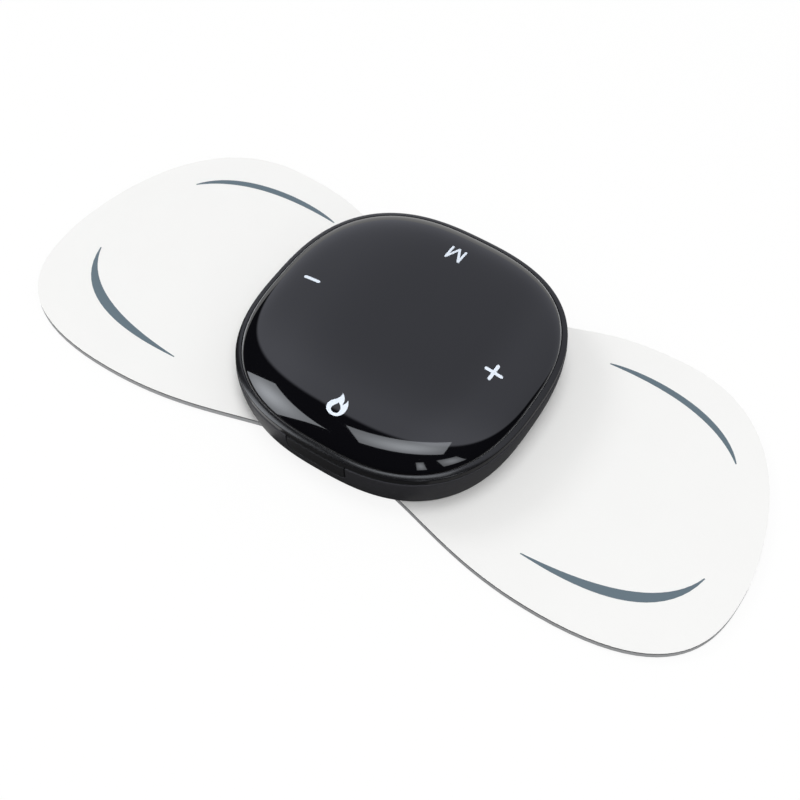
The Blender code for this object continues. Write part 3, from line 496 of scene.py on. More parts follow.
class TENS_OT_pad_layers(bpy.types.Operator):
    """Cover sheet, gel electrodes, conductive films and release film of the pad"""

    bl_idname = "tens_unit.pad_layers"
    bl_label = "Pad layers"

    def execute(self, context):
        pad = context.scene.tens_pad
        # Closed-cell foam sheet, skinned: matt white with a soft even tooth
        foam = finish(
            "white skinned foam sheet", pad.foam, 0.02, (0.7, 0.82), 0.35, 0.02, Specular_IOR_Level=0.1
        )
        outline = pad_outline(0.0)
        low, high = PAD_BOX[0].z, PAD_BOX[1].z
        lift = 0.05 * MM
        foot = LINER_BOX[0].z + lift
        shade_band_foot = high - pad.shade_band_depth
        steps = ((pad.roll, low), (pad.roll, foot), (0.0, foot), (0.0, shade_band_foot), (0.0, high))
        rings = [[(x, y, level) for x, y in pad_outline(inset)] for inset, level in steps]
        cover = stack_outlines("pad_cover_sheet", rings)
        hole_radius = 1.2 * MM
        for side in SIDES.values():
            carve(cover, round_cutter(hole_radius, 0.0, 2.0 * high, (side * SNAP_X, 0.0)))
        soften(cover, pad.edge, 3)
        dress(cover, foam, "pad", "pad_foam", "pad_cover")
        # Dark painted shade on the cover's edge, in a band under the top: mid grey, with the open cut cells
        # of cross-linked foam
        core = finish("grey foam core", pad.core, 0.2, (0.7, 0.85), 0.3, 0.04, patch=2.0)
        # The cover's edge where it is rolled down: paler grey painted shade, with a faint skin
        rolled = finish("rolled foam edge with painted shade", pad.rolled, 0.1, (0.6, 0.75), 0.3, 0.02, patch=2.0)
        cover.data.materials.append(core)
        cover.data.materials.append(rolled)
        # Side and under faces of the cover take painted shade: dark in a band under the top, paler grey below
        for polygon in cover.data.polygons:
            edge = polygon.normal.z < 0.5
            polygon.material_index = int(edge) + int(edge and polygon.center.z < shade_band_foot)
        area_of(outline)

        # Cast hydrogel: water-clear body with a tacky, slightly hazy skin
        gel_look = finish(
            "cast hydrogel", pad.gel, 0.05, (0.12, 0.22), 1.2, 0.03,
            IOR=1.36, Transmission_Weight=0.15, Subsurface_Weight=0.2,
        )
        # Carbon-filled vinyl film: dead black with a faint rolled tooth
        carbon = finish("carbon-filled vinyl film", linear("1E1E20"), 0.1, (0.5, 0.62), 0.3, 0.01)
        eyelet_radius = (EYELET_BOX[1].x - EYELET_BOX[0].x) / 2.0 + PORT_CLEARANCE
        pocket = EYELET_BOX[0].z - 0.1 * MM
        for name, side in SIDES.items():
            centre = (side * SNAP_X, 0.0)
            gel = lobe("gel_electrode_" + name, side, GEL_BOX)
            carve(gel, round_cutter(eyelet_radius, pocket, high, centre))
            soften(gel, pad.edge, 3)
            dress(gel, gel_look, "pad", "hydrogel", "gel_" + name)
            film = lobe("conductive_film_" + name, side, FILM_BOX)
            carve(film, round_cutter(hole_radius, 0.0, high, centre))
            dress(film, carbon, "pad", "carbon_film", "carbon_film_" + name)

        # Siliconed polyester film: clear and glossy, with a faint drawn haze
        film_look = finish(
            "clear polyester release film", pad.film, 0.03, (0.1, 0.2), 2.0, 0.005,
            IOR=1.57, Transmission_Weight=0.6,
        )
        liner_outline = pad_outline(pad.half_length - LINER_BOX[1].x)
        liner = plate("release_film", liner_outline, LINER_BOX[0].z, LINER_BOX[1].z)
        dress(liner, film_look, "liner", "release_film", "release_liner")
        area_of(liner_outline)
        return {'FINISHED'}


# Crescents of the right lobe, in mm: inner tip, outer edge's two handles, outer tip, inner edge's two handles
CRESCENTS = {
    "front": ((44.4, -25.15), (50.2, -25.5), (74.8, -27.7), (78.15, -9.8), (73.4, -22.4), (54.3, -24.35)),
    "back": ((37.0, 26.15), (45.2, 28.9), (64.7, 28.4), (71.6, 17.9), (61.8, 27.0), (46.4, 26.75)),
}
CRESCENT_STEPS = 24
TIP_HALF = 0.13 * MM


def crescent_outline(inner, outer_a, outer_b, outer, inner_b, inner_a):
    """A crescent's outline, its two tips a little blunt."""
    shifts = []
    for tip, outer_handle, inner_handle in ((inner, outer_a, inner_a), (outer, outer_b, inner_b)):
        spread = (outer_handle - tip).normalized() - (inner_handle - tip).normalized()
        shifts.append(TIP_HALF * spread.normalized())
    points = cubic(inner + shifts[0], outer_a, outer_b, outer + shifts[1], CRESCENT_STEPS)
    points += [outer + shifts[1]]
    points += cubic(outer - shifts[1], inner_b, inner_a, inner - shifts[0], CRESCENT_STEPS)
    return points + [inner - shifts[0]]


class TENS_OT_pad_prints(bpy.types.Operator):
    """Four crescents printed on the cover sheet"""

    bl_idname = "tens_unit.pad_prints"
    bl_label = "Pad prints"

    def execute(self, context):
        pad = context.scene.tens_pad
        # Screen-printed vinyl ink: an even satin film with a trace of mesh
        ink = finish("slate screen ink", pad.ink, 0.06, (0.45, 0.55), 0.25, 0.004, patch=5.0)
        bottom = PAD_BOX[1].z + INK_LIFT
        offset = Matrix.Rotation(pad.print_turn, 4, 'Z') @ Matrix.Translation((pad.print_shift, 0.0, 0.0))
        for side_name, side in SIDES.items():
            for place, points in CRESCENTS.items():
                outline = crescent_outline(*(Vector((side * x, y)) * MM for x, y in points))
                crescent = plate(f"crescent_{place}_{side_name}", outline, bottom, bottom + pad.print_height)
                crescent.data.transform(offset)
                dress(crescent, ink, "pad", "pad_foam")
        return {'FINISHED'}


class TENS_OT_press_studs(bpy.types.Operator):
    """Press studs and eyelets on the pad, and their sockets in the host"""

    bl_idname = "tens_unit.press_studs"
    bl_label = "Press studs"

    def execute(self, context):
        # Nickel-plated brass, tumbled: warm bright metal with soft handling marks
        nickel = finish(
            "nickel-plated brass", linear("C6C3BC"), 0.08, (0.16, 0.3), 0.5, 0.004, patch=2.0, Metallic=1.0
        )
        low, high = STUD_BOX[0].z, STUD_BOX[1].z
        flange = low + 0.4 * MM
        head = (high - flange) * 0.6 + flange
        stud_profile = [
            (1.2 * MM, low + 1.5 * MM), (1.2 * MM, low),
            *arc((4.25 * MM, low + 0.15 * MM), 0.15 * MM, -90.0, 0.0, 4),
            *arc((4.15 * MM, flange - 0.25 * MM), 0.25 * MM, 0.0, 90.0, 4),
            (2.3 * MM, flange + 0.05 * MM), (1.7 * MM, flange + 0.25 * MM),
            (1.6 * MM, flange + 0.55 * MM), (1.75 * MM, head - 0.5 * MM),
            *arc((1.25 * MM, head), 0.75 * MM, -25.0, 90.0, 8),
            (0.9 * MM, high - 0.1 * MM), (0.5 * MM, high - 0.16 * MM),
        ]
        stud_profile = [(radius, min(level, high)) for radius, level in stud_profile]

        socket_low, socket_high = SOCKET_BOX[0].z, SOCKET_BOX[1].z
        lip = HOUSING_BOX[0].z + context.scene.tens_host.wall + 0.1 * MM
        ceiling = socket_high - 0.8 * MM
        mouth, body, flange_half = 2.3 * MM, 3.2 * MM, 5.7 * MM
        flange_top, neck = lip + 0.4 * MM, socket_high - 0.3 * MM
        socket_profile = [
            (0.6 * MM, ceiling), (mouth, ceiling), (mouth, socket_low + 0.3 * MM),
            (mouth + 0.15 * MM, socket_low + 0.06 * MM), (mouth + 0.4 * MM, socket_low),
            *arc((4.2 * MM, socket_low + 0.2 * MM), 0.2 * MM, -90.0, 0.0, 4),
            (4.4 * MM, lip), (flange_half, lip), (flange_half, flange_top), (body, flange_top),
            (body, neck), (0.8 * MM, neck), (0.8 * MM, socket_high),
        ]
        for name, node_name, carrier, profile in (
            ("press_stud", "snap_stud", "pad", stud_profile),
            ("stud_socket", "snap_socket", "host", socket_profile),
        ):
            right = stack_rings(name + "_right", circle(), profile)
            shift(right, SNAP_X, 0.0)
            left = copy_at(right, name + "_left", -2.0 * SNAP_X, 0.0)
            dress(right, nickel, carrier, "nickel", node_name + "_right")
            dress(left, nickel, carrier, "nickel", node_name + "_left")
        paint(["stud_eyelet_" + side for side in SIDES], nickel)
        return {'FINISHED'}


def paint(names, material):
    """Give CAD nodes that stay in view a finished material."""
    for name in names:
        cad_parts[name].material_slots[0].material = material


def port_outline(grow, top):
    """The port's outline in x and z: round lower corners, straight top."""
    half = FLAP_BOX[1].x + grow
    bottom = FLAP_BOX[0].z - grow
    corner = 1.5 * MM + grow
    left = arc((corner - half, bottom + corner), corner, 180.0, 270.0, 10)
    right = arc((half - corner, bottom + corner), corner, 270.0, 360.0, 10)
    return [(half, top), (-half, top), *left, *right]


def port_cutter(grow, top, back):
    """The port's outline pushed through the front wall."""
    front = -1.2 * HOUSING_BOX[1].x
    points = [(x, front, z) for x, z in port_outline(grow, top)]
    return pull("port_cutter", points, (0.0, back - front, 0.0))


class TENS_OT_housing(bpy.types.Operator):
    """Lower housing with its wall, floor, socket holes, screw wells and port notch"""

    bl_idname = "tens_unit.housing"
    bl_label = "Housing"

    def execute(self, context):
        host = context.scene.tens_host
        # Spark-eroded ABS: matt charcoal, with a fine pebbled tooth whose pits swallow half of the shine
        plastic = finish(
            "spark-eroded black ABS", host.plastic, 2.0, (0.42, 0.55), 0.34, 0.09,
            patch=0.5, IOR=1.53, Specular_IOR_Level=0.25,
        )
        low, high = HOUSING_BOX[0].z, HOUSING_BOX[1].z
        round_centre = (housing_half(low) - host.foot_round, low + host.foot_round)
        profile = arc(round_centre, host.foot_round, -90.0, 0.0, 8)
        wall_steps = 14
        foot = low + host.foot_round
        lip = 0.2 * MM
        for i in range(1, wall_steps + 1):
            level = foot + (high - lip - foot) * i / wall_steps
            profile.append((housing_half(level), level))
        profile += arc((housing_half(high) - lip, high - lip), lip, 15.0, 90.0, 5)
        floor = low + host.wall
        fillet = 0.8 * MM
        inner = housing_half(floor + fillet) - host.wall
        profile += [(housing_half(high) - host.wall, high), (inner, floor + fillet), (inner - fillet, floor)]
        tub = stack_rings("housing_tub", squircle(), profile)
        socket_hole, post, well, bore = 4.7 * MM, 3.1 * MM, 2.2 * MM, 1.3 * MM
        for side in SIDES.values():
            carve(tub, round_cutter(socket_hole, 0.0, high, (side * SNAP_X, 0.0)))
        for x_side in SIDES.values():
            for y_side in SIDES.values():
                centre = (x_side * SCREW_X, y_side * SCREW_X)
                carve(tub, round_cutter(post, low + 0.8 * MM, low + 3.5 * MM, centre), 'UNION')
                carve(tub, round_cutter(well, 0.0, low + 1.9 * MM, centre))
                carve(tub, round_cutter(bore, 0.0, high, centre))
        carve(tub, port_cutter(PORT_CLEARANCE, 1.2 * high, -0.9 * host.half))
        soften(tub, 0.08 * MM)
        dress(tub, plastic, "host", "black_abs", "lower_housing")
        return {'FINISHED'}


class TENS_OT_port_flap(bpy.types.Operator):
    """Rubber flap over the charging port"""

    bl_idname = "tens_unit.port_flap"
    bl_label = "Port flap"

    def execute(self, context):
        host = context.scene.tens_host
        # Moulded silicone rubber: dull black with a dry, powdery tooth
        rubber = finish(
            "moulded silicone rubber", host.rubber, 0.15, (0.55, 0.68), 0.22, 0.015, patch=4.0, IOR=1.41
        )
        low, high = FLAP_BOX[0].z, FLAP_BOX[1].z
        thickness = 1.1 * MM
        steps = 6
        levels = [low - MM + (high - low + 2.0 * MM) * i / steps for i in range(steps + 1)]
        profile = [(housing_half(level), level) for level in levels]
        profile += [(half - thickness, level) for half, level in reversed(profile)]
        flap = stack_rings("port_flap", squircle(), profile, joined=True)
        carve(flap, port_cutter(0.0, high, 0.0), 'INTERSECT')
        soften(flap, 0.15 * MM, 3)
        dress(flap, rubber, "port_flap", "black_rubber", "port_cover")
        return {'FINISHED'}


class TENS_OT_rim_frame(bpy.types.Operator):
    """Rim round the touch panel, with the ledge and skirt under it"""

    bl_idname = "tens_unit.rim_frame"
    bl_label = "Rim frame"

    def execute(self, context):
        host = context.scene.tens_host
        # ABS straight off a polished tool: close black with a silky highlight
        satin = finish(
            "silk black ABS", host.rim, 0.1, (0.15, 0.2), 0.2, 0.003,
            patch=9.0, IOR=1.53, Specular_IOR_Level=0.3,
        )
        half, top, low = RIM_BOX[1].x, RIM_BOX[1].z, RIM_BOX[0].z
        bottom = HOUSING_BOX[1].z + PORT_CLEARANCE
        edge = host.rim_round
        inner = half - host.rim_width
        inner_edge, chamfer = 0.08 * MM, 0.1 * MM
        # The crown's face looks up this steeply at its outer and inner edge
        outer_turn, inner_turn = 60.0, 71.0
        outer_slope, inner_slope = math.radians(outer_turn), math.radians(inner_turn)
        outer_x = half - edge + edge * math.cos(outer_slope)
        inner_x = inner + inner_edge + inner_edge * math.cos(inner_slope)
        crown = (outer_x - inner_x) / (math.cos(outer_slope) - math.cos(inner_slope))
        crown_x = outer_x - crown * math.cos(outer_slope)
        crown_z = top - inner_edge + (inner_edge - crown) * math.sin(inner_slope)
        edge_z = crown_z + (crown - edge) * math.sin(outer_slope)
        ledge = PANEL_BOX[0].z - 0.4 * MM
        skirt = housing_half(low) - host.wall - PORT_CLEARANCE
        ledge_half, skirt_inner = skirt - 1.7 * MM, skirt - 0.9 * MM
        under_ledge = ledge - 1.5 * MM
        profile = [
            (half - chamfer, bottom), (half, bottom + chamfer),
            *arc((half - edge, edge_z), edge, 0.0, outer_turn - 8.0, 6),
            *arc((crown_x, crown_z), crown, outer_turn, inner_turn, 4),
            *arc((inner + inner_edge, top - inner_edge), inner_edge, 90.0, 180.0, 4),
            (inner, ledge), (ledge_half, ledge), (ledge_half, under_ledge), (skirt_inner, under_ledge),
            (skirt_inner, low), (skirt, low), (skirt, bottom),
        ]
        rim = stack_rings("rim_frame", squircle(), profile, joined=True)
        notch_top = FLAP_BOX[1].z + PORT_CLEARANCE
        carve(rim, port_cutter(PORT_CLEARANCE, notch_top, -0.7 * host.half))
        dress(rim, satin, "host", "black_abs", "upper_frame")
        return {'FINISHED'}


def dome_step(host, part):
    """Shares of the panel's half width and rise, from its edge at 0 to its middle at 1."""
    turn = math.pi / 2.0 * part
    return math.cos(turn) ** (2.0 / host.dome_flatness), math.sin(turn) ** (2.0 / host.dome_shoulder)


class TENS_OT_touch_panel(bpy.types.Operator):
    """Domed gloss touch panel"""

    bl_idname = "tens_unit.touch_panel"
    bl_label = "Touch panel"

    def execute(self, context):
        host = context.scene.tens_host
        # Back-printed acrylic, injection moulded: deep black under a mirror-smooth clear skin
        gloss = finish(
            "gloss black acrylic", host.panel, 0.1, (0.025, 0.045), 6.0, 0.004, patch=20.0, IOR=1.5
        )
        half, low, high = host.panel_half, PANEL_BOX[0].z, PANEL_BOX[1].z
        shoulder = high - host.dome
        wall = 1.4 * MM
        edge = 0.12 * MM
        outer_steps, inner_steps = 44, 14
        profile = []
        for i in range(1, outer_steps):
            share, rise = dome_step(host, 1.0 - i / outer_steps)
            profile.append((half * share, shoulder + host.dome * rise))
        profile.append((half, shoulder))
        profile += arc((half - edge, low + edge), edge, 0.0, -90.0, 3)
        for i in range(inner_steps):
            share, rise = dome_step(host, i / inner_steps)
            level = shoulder + (host.dome - wall) * rise if i else low
            profile.append(((half - wall) * share, level))
        panel = stack_rings("touch_panel", squircle(), profile)
        dress(panel, gloss, "host", "gloss_panel", "top_panel")
        # The same acrylic at its unprinted edge: black seen straight on, with a painted highlight that turns
        # it pale where the eye looks along it
        edge_highlight = finish("clear acrylic edge with painted highlight", host.panel_edge_highlight, 0.1, (0.1, 0.16), 0.4, 0.002, patch=4.0, IOR=1.5)
        tree = edge_highlight.node_tree
        skin = tree.nodes["Principled BSDF"].inputs["Base Color"]
        # Painted highlight: the edge's colour runs from the panel's black to pale as its faces turn away from
        # the eye
        facing = node(tree, "ShaderNodeLayerWeight").outputs["Facing"]
        highlight_slant = node(tree, "ShaderNodeMapRange", {"Value": facing, "From Min": 0.42, "From Max": 0.88})
        tint = mix(tree, highlight_slant.outputs["Result"], tuple(host.panel), skin.links[0].from_socket)
        tree.links.new(tint, skin)
        panel.data.materials.append(edge_highlight)
        # Faces round the panel's outer edge take the painted highlight
        for polygon in panel.data.polygons:
            outward = polygon.normal.xy.dot(polygon.center.xy) > 0.0
            polygon.material_index = int(outward and -0.1 < polygon.normal.z < 0.7)
        return {'FINISHED'}


STROKE_STEPS = 14


def stroke(name, start, end, width_mm):
    """A round-ended bar of ink, as a strip that can follow the dome."""
    settle()
    bpy.ops.mesh.primitive_grid_add(x_subdivisions=STROKE_STEPS, y_subdivisions=2, size=2.0)
    piece = bpy.context.object
    piece.name = name
    run = Vector(end) - Vector(start)
    along = run.normalized()
    across = Vector((-along.y, along.x))
    radius = width_mm * MM / 2.0
    reach = run.length / 2.0 + radius
    middle = (Vector(start) + Vector(end)) / 2.0
    for vertex in piece.data.vertices:
        turn = math.pi / 2.0 * vertex.co.x
        place = reach * math.sin(turn)
        beyond = max(abs(place) - run.length / 2.0, 0.0)
        width = math.sqrt(max(radius * radius - beyond * beyond, (0.02 * radius) ** 2))
        point = middle + along * place + across * width * vertex.co.y
        vertex.co = (point.x, point.y, 0.0)
    return piece


def lay_on_dome(piece, height):
    """Lay flat ink on the panel's crown and give it its thickness."""
    for vertex in piece.data.vertices:
        vertex.co.z = dome_level(vertex.co.x, vertex.co.y) + MARK_LIFT
    apply_modifier(piece, 'SOLIDIFY', thickness=height, offset=1.0)
    take(piece)
    mode('EDIT')
    face_out()


def join(name, pieces):
    """Several pieces as one."""
    take(pieces[0])
    for piece in pieces[1:]:
        piece.select_set(True)
    bpy.ops.object.join()
    pieces[0].name = name
    pieces[0].data.name = name
    return pieces[0]


# Bars of the key marks in mm, each from one end to the other, and their width
MODE_CORNERS = ((-2.5, 24.5), (-2.25, 20.75), (-0.9, 24.55), (0.87, 20.75), (0.75, 24.5))
MARKS = {
    "mark_minus": ((((-25.0, 0.1), (-21.45, -0.1)),), 0.75),
    "mark_plus": ((((20.58, 0.04), (24.15, 0.22)), ((22.36, -1.68), (22.36, 1.93))), 0.74),
    "mark_mode": (tuple(zip(MODE_CORNERS, MODE_CORNERS[1:])), 0.56),
}
# Flame of the heat key, in mm about the key's middle: a round foot with a tall tongue and two short ones
FLAME_PLACE = (-0.16, -23.8)
FLAME_STEPS = 8
FLAME = (
    (0.0, -2.35), (1.35, -2.35), (2.2, -1.35),
    (2.15, -0.1), (2.1, 0.75), (1.75, 1.3),
    (1.3, 1.75), (1.35, 1.1), (1.15, 0.65),
    (0.8, 0.4), (0.85, 1.5), (0.3, 2.2),
    (-0.55, 2.6), (-0.35, 1.75), (-0.75, 1.25),
    (-1.25, 0.75), (-1.85, 0.15), (-2.2, -0.35),
    (-2.1, -0.95), (-2.0, -1.8), (-1.15, -2.35),
    (0.0, -2.35),
)
FLAME_HEART = (
    (0.0, -1.75), (-0.7, -1.75), (-1.05, -1.3),
    (-0.95, -0.8), (-0.85, -0.3), (-0.35, -0.1),
    (-0.2, 0.55), (0.45, 0.2), (1.05, -0.35),
    (1.0, -0.95), (0.95, -1.45), (0.6, -1.75),
    (0.0, -1.75),
)


def bar_mark(name, bars, width_mm):
    """A mark of round-ended bars."""
    return join(name, [stroke("bar", Vector(a) * MM, Vector(b) * MM, width_mm) for a, b in bars])


def flame_mark(x, y):
    """The heat key's flame with its heart left open, as a fine flat mesh about a point in mm."""
    rings = []
    for name, knots in (("mark_heat", FLAME), ("heart", FLAME_HEART)):
        points = chain(knots, FLAME_STEPS)
        rings.append(start_ring(name, [((x + p.x) * MM, (y + p.y) * MM, 0.0) for p in points]))
    piece = join("mark_heat", rings)
    mode('EDIT')
    bpy.ops.mesh.select_all(action='SELECT')
    bpy.ops.mesh.fill()
    bpy.ops.mesh.subdivide(number_cuts=2)
    mode('OBJECT')
    return piece


class TENS_OT_key_marks(bpy.types.Operator):
    """Plus, minus, mode and heat marks on the touch panel"""

    bl_idname = "tens_unit.key_marks"
    bl_label = "Key marks"

    def execute(self, context):
        host = context.scene.tens_host
        # Pad-printed white ink under the panel's skin: flat, dense and faintly blue
        ink = finish("white pad-print ink", host.mark, 0.03, (0.35, 0.45), 0.3, 0.002, patch=1.0)
        height = 0.02 * MM
        marks = [bar_mark(name, *bars) for name, bars in MARKS.items()]
        for mark in (*marks, flame_mark(*FLAME_PLACE)):
            lay_on_dome(mark, height)
            dress(mark, ink, "host", "gloss_panel")
        return {'FINISHED'}


class TENS_OT_screws(bpy.types.Operator):
    """Four cross-head screws under the housing"""

    bl_idname = "tens_unit.screws"
    bl_label = "Screws"

    def execute(self, context):
        # Zinc-plated steel: cool bright metal with a faint bluish passivate
        zinc = finish(
            "zinc-plated steel", linear("B9BDC2"), 0.1, (0.22, 0.34), 0.4, 0.004, patch=1.5, Metallic=1.0
        )
        low, high = SCREW_BOX[0].z, SCREW_BOX[1].z
        head = (SCREW_BOX[1].x - SCREW_BOX[0].x) / 2.0
        seat = low + 1.3 * MM
        shank = 1.0 * MM
        profile = [
            (0.4 * head, low), (0.7 * head, low + 0.05 * MM),
            *arc((head - 0.35 * MM, low + 0.5 * MM), 0.35 * MM, -70.0, 0.0, 5),
            (head, seat), (shank, seat),
        ]
        pitch = 0.45 * MM
        root = 0.82 * shank
        turns = int((high - seat - shank) / pitch)
        for i in range(turns):
            level = seat + 0.2 * MM + i * pitch
            profile += [(root, level), (shank, level + 0.4 * pitch), (root, level + 0.8 * pitch)]
        profile.append((0.3 * shank, high))
        screw = stack_rings("screw_back_right_fine", circle(24), profile)
        for turn in (0.0, math.pi / 2.0):
            settle()
            bpy.ops.mesh.primitive_cube_add(size=1.0)
            slot = bpy.context.object
            slot.data.transform(Matrix.Diagonal((1.9 * MM, 0.5 * MM, 1.2 * MM, 1.0)))
            slot.data.transform(Matrix.Rotation(turn + 0.3, 4, 'Z') @ Matrix.Translation((0.0, 0.0, low)))
            carve(screw, slot)
        shift(screw, SCREW_X, SCREW_X)
        steps = {"front_left": (-2.0, -2.0), "front_right": (0.0, -2.0), "back_left": (-2.0, 0.0)}
        for corner, (x, y) in steps.items():
            twin = copy_at(screw, f"screw_{corner}_fine", x * SCREW_X, y * SCREW_X)
            dress(twin, zinc, "host", "nickel", "screw_" + corner)
        dress(screw, zinc, "host", "nickel", "screw_back_right")
        return {'FINISHED'}


# CAD nodes inside the host, and the name, colour and further values of their finish
INNER_LOOKS = (
    # Cured solder mask over copper: deep green, glossy, with the weave of the glass cloth just showing
    (["main_pcb"], "green solder mask", "16462C", 0.25, (0.25, 0.4), 0.5, 0.01, {"patch": 3.0, "IOR": 1.5}),
    # Aluminium-laminate pouch: soft silver with pressed wrinkles
    (["battery"], "laminate battery pouch", "BABCBE", 0.08, (0.3, 0.42), 3.0, 0.05, {"Metallic": 0.7}),
    # Polyimide film: clear amber
    (["heater_film"], "polyimide heater film", "B06C20", 0.2, (0.2, 0.32), 1.0, 0.01, {}),
    # Sintered ferrite: dull dark grey, slightly gritty
    (
        ["transformer", "boost_inductor"],
        "sintered ferrite", "343232", 0.2, (0.55, 0.7), 0.15, 0.01, {"patch": 2.0},
    ),
    # Transfer-moulded epoxy: flat black with a fine eroded tooth
    (
        ["mcu_chip", "output_driver", "usb_tongue"],
        "moulded epoxy", "1A1A1C", 0.15, (0.45, 0.55), 0.12, 0.006, {"patch": 1.5},
    ),
    # Drawn spring steel: bright wire with die lines
    (
        ["touch_spring_" + key for key in KEYS],
        "drawn spring steel", "B2B2B0", 0.1, (0.22, 0.35), 0.2, 0.005, {"patch": 1.0, "Metallic": 1.0},
    ),
    # Phosphor over a lamp chip: pale yellow, waxy
    (
        ["key_led_" + key for key in KEYS],
        "phosphor lamp cap", "ECE8D2", 0.05, (0.35, 0.5), 0.3, 0.005, {"patch": 0.6},
    ),
    # Acrylic foam tape: dead black
    (["panel_gasket"], "acrylic foam tape", "181818", 0.1, (0.65, 0.8), 0.3, 0.02, {}),
    # Deep-drawn stainless shell, nickel washed: cool bright metal with drawing lines
    (
        ["usb_shell"],
        "drawn stainless shell", "C2C4C6", 0.06, (0.2, 0.32), 0.3, 0.004, {"patch": 2.0, "Metallic": 1.0},
    ),
)


class TENS_OT_inner_parts(bpy.types.Operator):
    """Finishes of the parts inside the host"""

    bl_idname = "tens_unit.inner_parts"
    bl_label = "Inner parts"

    def execute(self, context):
        for nodes, name, hex_text, *values, sockets in INNER_LOOKS:
            paint(nodes, finish(name, linear(hex_text), *values, **sockets))
        return {'FINISHED'}


# Lamps: place in metres, tilt and turn in degrees, width and height, brightness, and whether they are
# windows, which only gloss shows, or soft lights, which it doesn't show
LAMPS = {
    "left_window": ((-0.552, -0.351, 0.547), (90.0, -34.0), (0.462, 0.759), 6.1, True),
    "overhead_box": ((0.059, -0.171, 1.017), (0.0, 25.3), (0.73, 0.22), 5.2, True),
    "right_window": ((0.584, -0.188, 0.742), (90.0, 36.8), (0.26, 0.5), 3.5, True),
    "right_pane": ((0.324, -0.383, 0.692), (90.0, 36.8), (0.08, 0.5), 3.5, True),
    "key_light": ((0.0, 0.0, 1.05), (0.0, 0.0), (0.35, 0.35), 8.9, False),
    "right_light": ((0.511, -0.511, 1.359), (28.0, 45.0), (0.49, 0.49), 11.1, False),
    "left_light": ((-1.063, 0.0, 0.957), (48.0, -90.0), (0.455, 0.455), 4.4, False),
}
WHITE = (1.0, 1.0, 1.0, 1.0)
SHEET_TINT = (0.86, 0.885, 1.0, 1.0)
WINDOW_TINT = (0.9, 0.94, 1.0)
WINDOW_FADE = (0.0, 0.6, 1.35, 0.7)  # from its middle towards its edge: two distances, and the light there
FLOOR_GLOW = 0.86  # share of plain white that the eye sees on the floor; the rest is lit and keeps the shadow
FIRST_HAND = 2.5  # lower ray depths are mirror images that the camera sees itself


def matt_plane(name, size, place, material_name, tint, roughness):
    """A flat square of one matt material."""
    settle()
    bpy.ops.mesh.primitive_plane_add(size=size, location=place)
    piece = bpy.context.object
    piece.name = name
    material = bpy.data.materials.new(material_name)
    material.use_nodes = True
    shader = material.node_tree.nodes["Principled BSDF"]
    shader.inputs["Base Color"].default_value = tint
    shader.inputs["Roughness"].default_value = roughness
    piece.data.materials.append(material)
    return piece


def add_floor(stage):
    """White paper that keeps a soft shadow."""
    floor = matt_plane("floor", 6.0, (0.0, 0.0, -0.3 * MM), "matt white paper", stage.floor, 0.9)
    tree = floor.data.materials[0].node_tree
    paper = tree.nodes["Principled BSDF"].outputs[0]
    glow = node(tree, "ShaderNodeEmission", {"Color": WHITE, "Strength": 1.0}).outputs[0]
    path = node(tree, "ShaderNodeLightPath").outputs
    seen = calc(tree, 'MAXIMUM', path["Is Camera Ray"], path["Is Glossy Ray"])
    seen = calc(tree, 'MAXIMUM', seen, path["Is Transmission Ray"])
    share = calc(tree, 'MULTIPLY', seen, FLOOR_GLOW)
    mixed = node(tree, "ShaderNodeMixShader", {0: share, 1: paper, 2: glow}).outputs[0]
    tree.links.new(mixed, tree.nodes["Material Output"].inputs["Surface"])


def add_card():
    """A grey card on the floor in front, which only the gloss shows."""
    place = (0.485, -0.52, -0.2 * MM)
    card = matt_plane("grey_card", 1.0, place, "matt grey card", linear("8A8A8A"), 0.95)
    for ray in ("camera", "diffuse", "transmission", "shadow"):
        setattr(card, "visible_" + ray, False)


def light_studio(scene, stage):
    """Gloss shows a white sheet behind and overhead, matt faces get a fill, and the camera sees white."""
    world = bpy.data.worlds.new("studio")
    scene.world = world
    world.use_nodes = True
    tree = world.node_tree
    tree.nodes.clear()
    place = node(tree, "ShaderNodeTexCoord").outputs["Generated"]
    behind = node(
        tree, "ShaderNodeVectorMath", {0: place, 1: (-0.16, 1.0, 0.65)}, operation='DOT_PRODUCT'
    ).outputs["Value"]
    along = node(tree, "ShaderNodeSeparateXYZ", {"Vector": place}).outputs
    aside = calc(tree, 'ABSOLUTE', calc(tree, 'ADD', along["X"], 0.22))
    level = fade(tree, behind, 0.58, 0.63, 0.02, stage.backdrop)
    # The sheet fades towards the horizon and glows a little overhead and at both sides
    for value, *span in (
        (along["Z"], 0.3, 0.9, 0.82, 1.0),
        (along["Y"], 0.1, 0.5, 1.4, 1.0),
        (aside, 0.08, 0.4, 1.0, 1.16),
    ):
        level = calc(tree, 'MULTIPLY', level, fade(tree, value, *span))
    mirrored, fill, backdrop = (
        node(tree, "ShaderNodeBackground", {"Color": tint, "Strength": strength}).outputs[0]
        for tint, strength in ((SHEET_TINT, level), (WHITE, stage.fill), (WHITE, 1.0))
    )
    path = node(tree, "ShaderNodeLightPath").outputs
    first = calc(tree, 'LESS_THAN', path["Ray Depth"], FIRST_HAND)
    gloss = calc(tree, 'MULTIPLY', path["Is Glossy Ray"], first)
    seen = calc(tree, 'MAXIMUM', path["Is Camera Ray"], path["Is Transmission Ray"])
    lit = node(tree, "ShaderNodeMixShader", {0: gloss, 1: fill, 2: mirrored}).outputs[0]
    shown = node(tree, "ShaderNodeMixShader", {0: seen, 1: lit, 2: backdrop}).outputs[0]
    node(tree, "ShaderNodeOutputWorld", {"Surface": shown})


